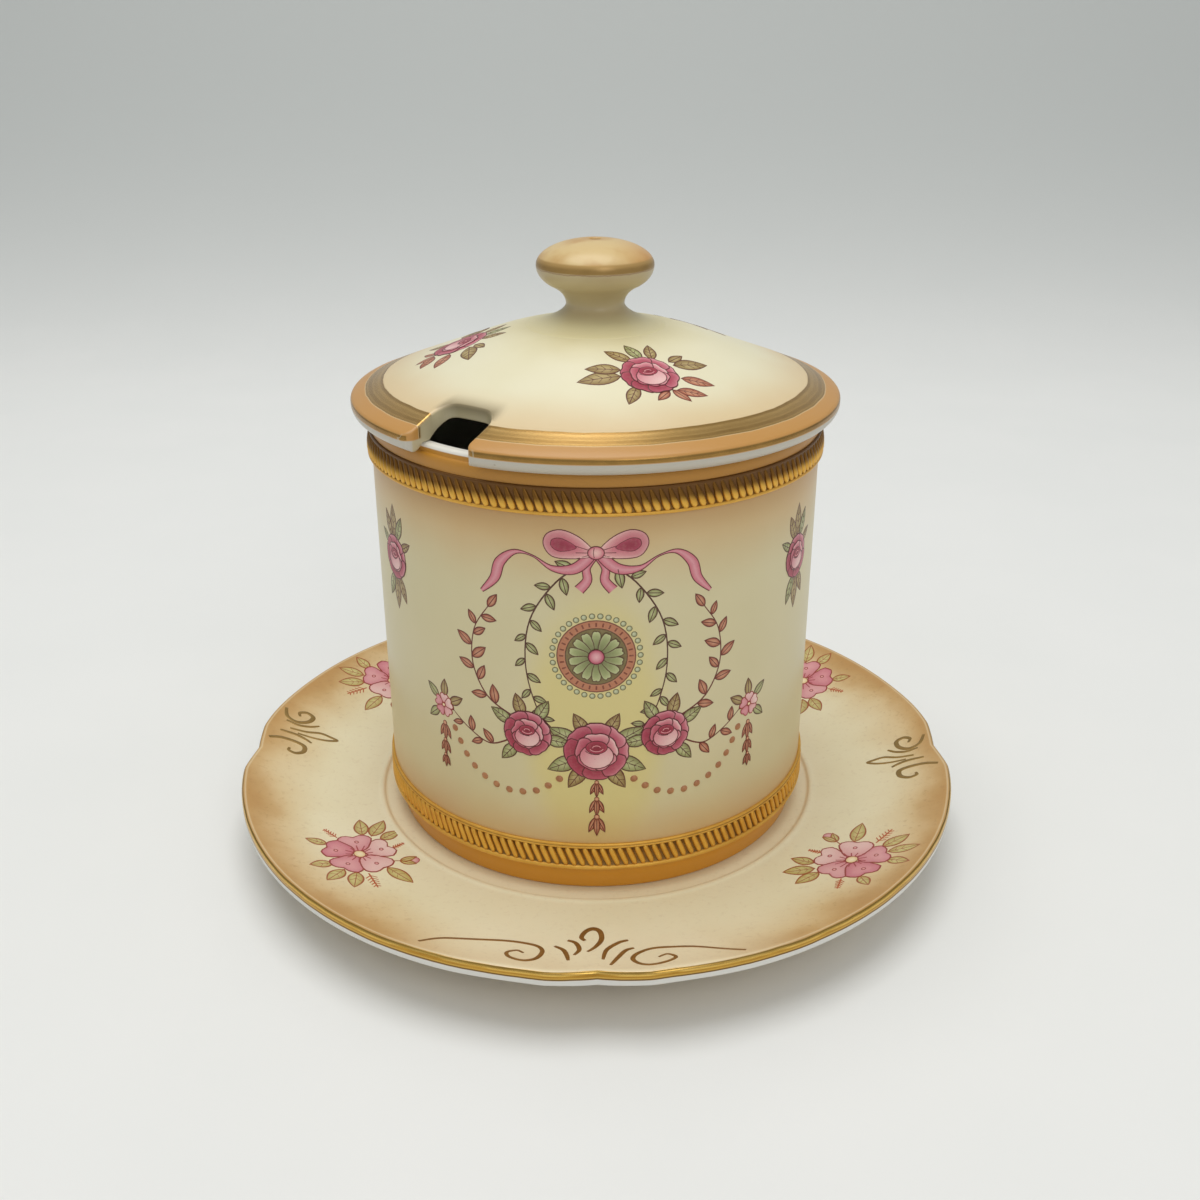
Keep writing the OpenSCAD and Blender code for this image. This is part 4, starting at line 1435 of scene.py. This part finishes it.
def leaf(drawing, x, y, angle, length, width, kind, veins=3, edge=0.25):
    core, rim, line = LEAF_PAINTS[kind]
    ux, uy = heading(angle)
    outline = []
    for side in (1, -1):
        for k in range(9):
            t = k / 9 if side > 0 else 1 - k / 9
            belly = width / 2 * math.sin(math.pi * min(1.0, t**0.85)) ** 0.9
            half = belly * (1 + 0.07 * math.sin(9 * math.pi * t))
            along = length * t
            outline.append((x + ux * along - uy * half * side, y + uy * along + ux * half * side))
    outline = [p for i, p in enumerate(outline) if i == 0 or math.dist(p, outline[i - 1]) > 1e-3]
    heart = (x + ux * length * 0.45, y + uy * length * 0.45)
    drawing.fill(outline, heart, core, rim, line, edge, (-uy, ux, blend_paint(rim, line, 0.3), width, 0.5))
    thin = min(0.2, 0.06 * length)
    midrib = [(x + ux * length * t, y + uy * length * t) for t in (0.0, 0.3, 0.6, 0.92)]
    drawing.stroke(midrib, thin, line)
    for i in range(veins if length > 4.2 else 0):
        t = 0.22 + 0.2 * i
        for side in (1, -1):
            reach = width * 0.32 * math.sin(math.pi * t)
            sx, sy = x + ux * length * t, y + uy * length * t
            end = (sx + ux * reach * 0.9 - uy * reach * side, sy + uy * reach * 0.9 + ux * reach * side)
            drawing.stroke([(sx, sy), end], thin * 0.5, line)


# %% A rose, a small open blossom and a spray
def disc(x, y, wide, high, count=18):
    turns = [2 * math.pi * k / count for k in range(count)]
    return [(x + wide * math.cos(a), y + high * math.sin(a)) for a in turns]


def dot(drawing, x, y, wide, high, core, rim, line, edge, count=18):
    """A filled oval, graded from its middle."""
    drawing.fill(disc(x, y, wide, high, count), (x, y), core, rim, line, edge)


def shade_at(angle, shady=220):
    """How deep a petal is painted: one on the shady side of the flower, none on the other."""
    return 0.5 + 0.5 * math.cos(math.radians(angle - shady))


def leaves_round(drawing, x, y, wide, high, share, leaves, side=1):
    """Leaves that point away from a flower. Each is an angle, a length and a kind."""
    for angle, length, kind in leaves:
        turned_to = angle if side > 0 else 180 - angle
        c, s = heading(turned_to)
        leaf(drawing, x + wide * c, y + high * s, turned_to, length, length * share, kind)


def rose(drawing, x, y, size, turn=0, seed=1):
    rng = random.Random(seed)
    for i in range(8):
        angle = turn + 45 * i + rng.uniform(-5, 5)
        shade = shade_at(angle)
        core = blend_paint((206, 106, 124), ROSE_DEEP, 0.75 * shade)
        rim = blend_paint(ROSE_LIGHT, ROSE_MID, shade)
        petal(drawing, x, y, angle, 0.60 * size, 0.74 * size, 0.84 * size, core, rim, rng,
              amount=0.85, ruffle=0.03)
    for i in range(5):
        angle = turn + 20 + 72 * i
        shade = shade_at(angle)
        core = blend_paint((230, 148, 156), ROSE_MID, shade)
        rim = blend_paint((252, 222, 212), (206, 110, 126), shade)
        petal(drawing, x, y, angle, 0.34 * size, 0.62 * size, 0.74 * size, core, rim, rng, amount=0.75)
    bowl = disc(x, y - 0.14 * size, 0.50 * size, 0.42 * size)
    drawing.fill(bowl, (x + 0.10 * size, y - 0.26 * size), ROSE_PALE, (248, 214, 204), ROSE_LINE, 0.2,
                 (-0.55, 0.85, (184, 64, 90), 1.1 * size, 0.6))
    deep_heart = disc(x, y + 0.15 * size, 0.32 * size, 0.22 * size)
    drawing.fill(deep_heart, (x, y + 0.13 * size), (132, 18, 42), (170, 48, 74), ROSE_LINE, 0.16)
    for reach, start, end in ((0.20, 200, 340), (0.11, 10, 200), (0.36, 205, 300)):
        turns = [heading(a) for a in range(start, end + 1, 20)]
        curl = [(x + reach * size * c, y + (0.14 + 0.62 * reach * s) * size) for c, s in turns]
        drawing.stroke(curl, 0.16, (234, 160, 164) if reach < 0.3 else ROSE_LINE)


def open_rose(drawing, x, y, size, seed=1, shady=210, edge=0.2):
    """An open five-petalled rose in thin washes, deeper on one side, with a ring of small stamens."""
    rng = random.Random(seed)
    line = (152, 46, 36)
    for i in range(5):
        angle = 90 + 72 * i + rng.uniform(-6, 6)
        shade = shade_at(angle, shady)
        core = blend_paint((250, 230, 218), (230, 164, 168), shade)
        rim = blend_paint((246, 218, 206), (204, 116, 132), shade)
        petal(drawing, x, y, angle, 0.57 * size, 0.90 * size, 0.86 * size, core, rim, rng,
              (204, 112, 122), line, 0.5, edge, 0.045, 0.12)
    for i in range(13 if size > 5 else 0):
        a = 2 * math.pi * i / 13
        near, far = 0.17 * size, rng.uniform(0.3, 0.44) * size
        stamen = [(x + reach * math.cos(a), y + reach * math.sin(a)) for reach in (near, far)]
        drawing.stroke(stamen, 0.3, (168, 62, 66))
    for i in range(5 if size > 5 else 0):
        c, s = heading(90 + 72 * i)
        dot(drawing, x + 0.6 * size * c, y + 0.6 * size * s, 0.52, 0.46, (238, 180, 176), (214, 136, 140),
            line, 0.2, 10)
    dot(drawing, x, y, 0.17 * size, 0.15 * size, (250, 234, 196), (232, 196, 140), line, 0.12, 12)


def spray(drawing, points, count, length, kind, seed=1, start=0.2):
    """A stem with leaves set in turn on both sides and one at its tip."""
    rng = random.Random(seed)
    stem = flow(points)
    line = LEAF_PAINTS[kind][2]
    drawing.stroke(stem, lambda t: 0.40 - 0.18 * t, line)
    for i in range(count):
        t = start + (1 - start) * i / count
        k = min(len(stem) - 2, int(t * (len(stem) - 1)))
        (x0, y0), (x1, y1) = stem[k], stem[k + 1]
        along = math.degrees(math.atan2(y1 - y0, x1 - x0))
        side = 1 if i % 2 else -1
        size = length * (1.0 - 0.28 * t) * rng.uniform(0.88, 1.1)
        leaf(drawing, x0, y0, along + side * rng.uniform(42, 62), size, size * 0.5, kind)
    (x0, y0), (x1, y1) = stem[-2:]
    leaf(drawing, x1, y1, math.degrees(math.atan2(y1 - y0, x1 - x0)), length * 0.8, length * 0.4, kind)


# %% [markdown]
# ## The design on the wall
# The front and the back carry the same design: a ribbon bow with long streamers, an oval wreath that
# hangs from it with a fluted rosette inside, laurel branches that rise round the wreath like a lyre,
# three roses below, and small blossoms to the sides from which pearl festoons and husks hang.


# %% Bow and rosette
def bow(drawing, x, y):
    light, mid, deep, line = (242, 196, 186), (204, 106, 120), (150, 44, 66), (96, 24, 30)
    for side in (-1, 1):
        streamer = ((0.6, -0.3), (3.6, -2.9), (7.4, -3.0), (10.8, -1.0), (14.0, -0.6), (16.8, -2.8),
                    (18.0, -6.0), (20.6, -8.8))
        streamer = flow(mirrored(side, streamer, x, y), 8)
        drawing.stroke(streamer, lambda t: 1.25 + 0.85 * math.sin(9.4 * t + 0.6), mid, line)
        tail = ((0.3, -0.8), (1.6, -2.8), (1.5, -5.0), (2.9, -6.8))
        drawing.stroke(flow(mirrored(side, tail, x, y)), lambda t: 1.2 + 0.8 * t, mid, line)
    for side in (-1, 1):
        loop = ((0.4, 0.5), (2.8, 2.9), (5.8, 4.1), (8.3, 3.3), (9.0, 1.3), (7.6, -0.8), (4.6, -1.2),
                (0.5, -0.7))
        drawing.fill(ring_of(mirrored(side, loop, x, y)), (x + side * 5.4, y + 1.3), mid, light, line, 0.18,
                     (side, 0.3, deep, 9.0, 0.35))
        inner = ((3.2, 0.9), (5.6, 2.5), (7.4, 2.3), (7.6, 1.0), (6.0, 0.1))
        drawing.fill(ring_of(mirrored(side, inner, x, y)), (x + side * 6.0, y + 1.3), deep, (172, 66, 88),
                     line, 0.14)
        for k in (0.5, 0.0, -0.45):
            drawing.stroke([(x + side * 1.2, y + k), (x + side * 3.4, y + k * 2.4)], 0.14, line)
    dot(drawing, x, y, 1.5, 1.25, light, mid, line, 0.18)
    drawing.stroke([(x - 0.3, y + 0.9), (x - 0.45, y), (x - 0.3, y - 0.9)], 0.14, line)


def rosette(drawing, x, y):
    """A round fluted rosette with a coloured band and a ring of small beads."""
    dot(drawing, x, y, 7.0, 7.0, (196, 134, 98), (186, 120, 86), (120, 66, 44), 0.22, 40)
    for i in range(32):
        c, s = heading(360 * i / 32)
        drawing.stroke([(x + 5.75 * c, y + 5.75 * s), (x + 6.5 * c, y + 6.5 * s)], 0.34, (128, 66, 46))
    dot(drawing, x, y, 5.5, 5.5, (116, 96, 56), (126, 110, 64), (98, 66, 40), 0.2, 40)
    rng = random.Random(4)
    for i in range(14):
        petal(drawing, x, y, 90 + 360 * i / 14, 3.15, 4.2, 1.75, (180, 190, 130), (206, 210, 156), rng,
              (100, 102, 58), (92, 68, 40), 0.85)
    dot(drawing, x, y, 1.5, 1.5, ROSE_LIGHT, ROSE_MID, ROSE_LINE, 0.2)
    for i in range(34):
        c, s = heading(360 * i / 34)
        bx, by = x + 7.75 * c, y + 7.75 * s
        drawing.fill(disc(bx, by, 0.56, 0.56, 10), (bx - 0.12, by + 0.15), (210, 212, 176), (146, 150, 110),
                     (92, 84, 52), 0.13)


def husk(drawing, x, y, size):
    """A bellflower husk that hangs down."""
    for bend_by in (-24, 24, 0):
        leaf(drawing, x, y, 270 + bend_by, size * (1.0 if bend_by else 1.12), size * 0.36, "brown", 0)
    dot(drawing, x, y, size * 0.14, size * 0.14, *LEAF_PAINTS["brown"], 0.08, 10)


# %% Put the wall design together
def wall_design():
    drawing = Drawing()
    for side in (-1, 1):
        wreath = mirrored(side, ((1.2, 67.5), (6.8, 63.5), (11.6, 56.0), (12.6, 47.0), (10.6, 38.6),
                                 (8.0, 35.0)))
        spray(drawing, wreath, 15, 3.5, "green", 21 + side, 0.12)
        lyre = mirrored(side, ((15.2, 36.4), (20.4, 39.6), (23.2, 45.6), (22.6, 52.4), (19.6, 57.2)))
        spray(drawing, lyre, 9, 4.3, "brown", 31 + side)
        outer = mirrored(side, ((16.0, 31.6), (20.2, 29.8), (24.6, 31.6), (28.2, 34.2)))
        spray(drawing, outer, 4, 3.8, "brown", 41 + side, 0.3)
    for level, size in ((24.2, 3.0), (20.6, 3.4), (16.8, 3.8)):
        husk(drawing, 0, level, size)
    for side in (-1, 1):
        for i, (hx, hy) in enumerate(((30.8, 30.8), (30.9, 27.2), (31.0, 24.0))):
            husk(drawing, side * hx, hy, 3.5 - 0.5 * i)
        leaves_round(drawing, side * 30.8, 34.6, 1.6, 1.6, 0.5, (
            (40, 4.0, "green"), (95, 4.0, "olive"), (150, 4.0, "olive"), (320, 4.0, "green"),
        ), side)
        open_rose(drawing, side * 30.8, 34.6, 2.6, 50 + side)
    leaves_round(drawing, 0, 30.6, 3.4, 3.4, 0.5, (
        (152, 6.4, "green"), (28, 6.4, "green"), (118, 5.4, "olive"), (62, 5.4, "olive"),
        (205, 6.6, "green"), (335, 6.6, "green"), (236, 6.0, "olive"), (304, 6.0, "olive"),
    ))
    for side in (-1, 1):
        leaves_round(drawing, side * 12.6, 33.4, 3.2, 3.2, 0.52, (
            (30, 5.0, "green"), (75, 5.0, "olive"), (120, 5.0, "green"), (190, 5.0, "green"),
            (310, 5.0, "green"),
        ), side)
        rose(drawing, side * 12.6, 33.4, 4.9, 10 * side, 5 + side)
    rose(drawing, 0, 30.6, 6.3, 0, 9)
    rosette(drawing, 0, 49.6)
    bow(drawing, 0, 69.0)
    return drawing


def side_sprig():
    drawing = Drawing()
    leaves_round(drawing, 0, 60, 2.6, 3.8, 0.42, (
        (90, 6.6, "olive"), (66, 5.6, "green"), (114, 5.6, "olive"), (150, 4.4, "green"),
        (30, 4.4, "olive"), (270, 6.8, "olive"), (246, 5.8, "green"), (296, 5.6, "olive"),
    ))
    rose(drawing, 0, 60.0, 4.6, 12, 3)
    return drawing


front = wall_design()
sprig = side_sprig()
print("Coats of paint at the deepest:", max(front.coats.values()), "and", max(sprig.coats.values()))
bend_on("Wall_design_front", [(front, on_wall(0))], enamel, "pot")
bend_on("Wall_design_back", [(front, on_wall(180))], enamel, "pot")
bend_on("Wall_side_sprigs", [(sprig, on_wall(a)) for a in (-59, 59, 121, 239)], enamel, "pot")


# %% [markdown]
# ## The sprigs on the lid and the plate
# Three rose sprigs stand round the dome. The plate was printed from another set, with open roses,
# yellow-green leaves and orange outlines, one sprig in each lobe, and gilt scrolls at the dips.


# %% Lid sprigs
def lid_sprig():
    drawing = Drawing()
    for x, y, a, length, kind in (
        (-5.0, 0.6, 172, 8.0, "olive"), (-4.4, 2.2, 158, 6.4, "olive"), (-3.4, -2.6, 232, 5.6, "olive"),
        (-1.6, 4.0, 128, 5.8, "olive"), (0.4, 4.4, 104, 5.4, "green"), (2.2, 4.0, 76, 5.2, "olive"),
        (5.0, 3.2, 30, 4.2, "olive"), (5.4, 2.2, 4, 7.0, "olive"), (5.2, -1.6, 338, 6.0, "brown"),
        (2.2, -4.6, 300, 4.2, "brown"), (3.0, -4.8, 338, 5.4, "brown"), (1.6, -5.0, 214, 3.8, "brown"),
    ):
        leaf(drawing, x, y, a, length, length * 0.46, kind)
    rose(drawing, 0, 0, 5.6, 8, 14)
    return drawing


lid_drawing = lid_sprig()
bend_on("Lid_sprigs", [(lid_drawing, on_dome(a, 25.6)) for a in (21.5, -90.5, 137)], enamel, "lid")


# %% Plate sprigs
def feathered(drawing, x, y, angle, length):
    """A tiny fern-like twig in thin orange lines."""
    orange = (186, 90, 40)
    a = math.radians(angle)
    ux, uy = math.cos(a), math.sin(a)
    drawing.stroke([(x, y), (x + ux * length, y + uy * length)], 0.34, orange)
    for i in range(1, 6):
        t = i / 6
        for side in (1, -1):
            sx, sy = x + ux * length * t, y + uy * length * t
            b = a + side * 0.9
            reach = 0.28 * length * (1 - 0.5 * t)
            drawing.stroke([(sx, sy), (sx + math.cos(b) * reach, sy + math.sin(b) * reach)], 0.26, orange)


def rosebud(drawing, x, y, angle, size):
    """A closed bud on a short stem: a pink tip between two sepals."""
    ux, uy = heading(angle)
    drawing.stroke([(x - ux * size * 0.7, y - uy * size * 0.7), (x, y)], 0.3, LEAF_PAINTS["lime"][2])
    dot(drawing, x + ux * size, y + uy * size, 0.42 * size, 0.42 * size, (232, 186, 180), (206, 130, 140),
        (172, 84, 70), 0.2, 14)
    for bend_by in (-20, 20):
        leaf(drawing, x, y, angle + bend_by, 1.3 * size, 0.62 * size, "lime", 0, 0.32)


def plate_sprig():
    drawing = Drawing()
    feathered(drawing, 0.6, 6.4, 96, 3.1)
    feathered(drawing, 7.2, -1.6, 352, 5.6)
    feathered(drawing, -7.2, -1.4, 196, 4.0)
    for x, y, a, length, share in (
        (-6.2, 3.6, 160, 6.2, 0.50), (-5.2, 5.0, 130, 6.4, 0.54), (-3.4, 6.0, 98, 5.0, 0.6),
        (6.4, 2.6, 14, 7.6, 0.42), (6.0, -3.4, 330, 6.4, 0.5), (4.4, -5.2, 304, 6.2, 0.5),
        (1.6, -6.2, 268, 4.8, 0.62), (-5.4, -4.2, 226, 4.6, 0.56),
    ):
        leaf(drawing, x, y, a, length, length * share, "lime", 2, 0.36)
    rosebud(drawing, 5.4, 5.8, 62, 2.8)
    open_rose(drawing, 0, 0, 7.7, 6, 246, 0.32)
    return drawing


plate_drawing = plate_sprig()
plate_places = ((-54.5, 57.0), (53.0, 61.5), (126.0, 62.5), (233.0, 62.5))
bend_on("Plate_sprigs", [(plate_drawing, on_plate(a, r)) for a, r in plate_places], enamel, "underplate")


# %% Gilt scrolls at the dips of the rim
def brush(thick, thin=0.35):
    return lambda t: thin + (thick - thin) * math.sin(math.pi * min(1.0, 0.12 + 0.82 * t)) ** 0.8


BROWN_PASTE = (116, 70, 20)
OLIVE_PASTE = (124, 100, 44)


def scroll_work(strokes, paste, way=1, heavier=1.0):
    """Gilt strokes, each a line of points and a width. Way turns them over."""
    drawing = Drawing()
    for points, width in strokes:
        drawing.stroke(flow(mirrored(way, points), 8), brush(heavier * width), paste, raised=0.05)
    return drawing


# The long ornament: a curved leaf, four side strokes and two long curls.
LONG_STROKES = (
    ([(-2.5, 13.2), (-3.3, 14.6), (-2.5, 16.8), (-0.9, 17.8), (0.6, 16.8), (0.9, 13.8), (-0.3, 10.6),
      (-1.8, 8.4)], 1.35),
    ([(-6.0, 13.1), (-4.3, 12.2), (-3.4, 9.4), (-4.2, 6.9)], 1.05),
    ([(-8.2, 10.5), (-6.4, 9.1), (-5.5, 6.8), (-5.0, 4.4)], 1.0),
    ([(6.3, 13.1), (4.2, 12.2), (1.8, 9.2), (1.0, 4.6)], 1.05),
    ([(7.0, 9.8), (5.3, 8.8), (3.7, 5.8), (2.2, 2.0)], 1.0),
    ([(-31.0, 2.0), (-28.0, 6.3), (-19.0, 10.0), (-12.6, 10.2), (-10.2, 8.3), (-10.5, 4.6), (-12.4, 2.8),
      (-15.0, 3.6), (-16.0, 5.5), (-14.6, 6.9), (-13.2, 6.2)], 0.95),
    ([(25.0, 1.4), (18.9, 6.6), (14.3, 8.4), (10.2, 8.9), (7.4, 7.4), (6.2, 5.0), (7.2, 2.6), (9.4, 1.9),
      (12.0, 2.6), (13.5, 4.0), (12.4, 5.7), (10.7, 4.9)], 0.95),
)

# The short ornament: two curls, a long pointed leaf and two side strokes.
SHORT_STROKES = (
    ([(7.4, 0.6), (4.8, 2.0), (4.2, 4.4), (5.9, 6.4), (8.2, 6.6), (8.9, 4.9), (7.8, 3.6), (6.6, 4.2)], 0.95),
    ([(3.4, 2.4), (3.3, 5.0), (4.4, 7.4), (6.0, 9.0)], 0.7),
    ([(1.2, 4.0), (2.0, 7.4), (3.4, 10.2), (3.2, 12.6), (2.6, 14.2), (1.3, 12.2), (0.6, 9.2), (0.4, 6.0)],
     0.75),
    ([(-0.6, 2.4), (-0.3, 5.6), (-0.8, 8.0), (-1.6, 9.6)], 0.8),
    ([(-4.4, 0.6), (-3.2, 3.0), (-3.0, 6.2), (-3.8, 8.4), (-6.0, 8.6), (-7.4, 7.0), (-7.0, 5.4), (-5.9, 5.4)],
     1.0),
)


def shifted(surface, along):
    """The same surface with the drawing moved along it, as the gilder's free hand did."""
    return lambda x, y, lift: surface(x + along, y, lift)


long_scrolls = scroll_work(LONG_STROKES, BROWN_PASTE)
right_scrolls, left_scrolls = (scroll_work(SHORT_STROKES, OLIVE_PASTE, way, 1.2) for way in (1, -1))
bend_on("Plate_gilt_scrolls", [
    (long_scrolls, on_rim(0)), (right_scrolls, shifted(on_rim(90), -3.0)),
    (long_scrolls, on_rim(180)), (left_scrolls, shifted(on_rim(270), -9.0)),
], gilt_paste, "underplate")

# %% [markdown]
# ## The pearl swags
# Small beads of raised enamel hang in two festoons beside the roses. They repeat along a line, so a tree
# sets them out: it measures the line into equal steps and sinks a ball at each, until only a low cap
# stands proud of the glaze.

# %% The tree that sets pearls
pearls, qin, qout = new_group(
    "Set pearls along a line", "GeometryNodeTree",
    [("Geometry", "NodeSocketGeometry", None), ("Apart", "NodeSocketFloat", 0.0024),
     ("Pearl radius", "NodeSocketFloat", 0.0007), ("Enamel", "NodeSocketMaterial", None)],
    [("Geometry", "NodeSocketGeometry")],
)
line_curve = place(pearls, "GeometryNodeMeshToCurve", {"Mesh": qin["Geometry"]})
even_steps = place(
    pearls, "GeometryNodeResampleCurve", {"Curve": line_curve.outputs[0], "Length": qin["Apart"]},
    mode="LENGTH",
)
bead = place(pearls, "GeometryNodeMeshUVSphere", {"Segments": 14, "Rings": 8, "Radius": qin["Pearl radius"]})
set_out = place(pearls, "GeometryNodeInstanceOnPoints", {
    "Points": even_steps.outputs[0], "Instance": bead.outputs[0],
})
end_tree(pearls, set_out, qin["Enamel"], qout)

# %% Hang the swags
PEARLS_APART, PEARL_R, PEARL_SUNK = 2.6, 0.86, 0.48

pearl_enamel, tree, shader, mm, _ = new_glaze("Brown pearl enamel")
tone = noise(tree, mm, 0.8, 2.0)
paint = over(tree, (140, 82, 50), (196, 140, 92), tone)
finish_glaze(tree, shader, paint, tone, 0.3)
swag_points, swag_edges = [], []
for turn in (0, 180):
    surface = on_wall(turn)
    for side in (-1, 1):
        hanging = mirrored(side, ((28.2, 30.6), (24.4, 24.4), (18.2, 21.0), (11.6, 21.4), (6.8, 24.6)))
        loop = flow(hanging, 10)
        first = len(swag_points)
        swag_points += [tuple(c * MM for c in surface(x, y, -PEARL_SUNK)) for x, y in loop]
        swag_edges += [(first + i, first + i + 1) for i in range(len(loop) - 1)]
swag_line = bpy.data.meshes.new("Swag lines")
swag_line.from_pydata(swag_points, swag_edges, [])
swags = run_tree("Pearl_swags", pearls, swag_line, {
    "Apart": PEARLS_APART * MM, "Pearl radius": PEARL_R * MM, "Enamel": pearl_enamel,
})
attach(swags, "pot")
print("Pearls:", len(swags.data.polygons), "faces")

# %% [markdown]
# ## Put each piece on its body
# The turned pieces stand for the CAD solids, which are hidden. Each rides on the body that its solid
# belongs to, so the lid lifts with its knob and the pot with its bands and its painting.

# %% Ride and replace
for piece, body, node, finish in (
    (underplate, "underplate", "underplate", "plate_glaze"),
    (pot, "pot", "pot", "ivory_glaze"),
    (lower_ground, "pot", "lower_rope_band", "gilding"),
    (upper_ground, "pot", "upper_rope_band", "gilding"),
    (lid, "lid", "lid", "ivory_glaze"),
    (lid_ring, "lid", "lid", "ivory_glaze"),
    (knob, "lid", "knob", "knob_glaze"),
):
    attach(piece, body)
    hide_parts(node)
for piece in (lower_ribs, upper_ribs):
    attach(piece, "pot")
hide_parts("lower_rope_band")
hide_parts("upper_rope_band")
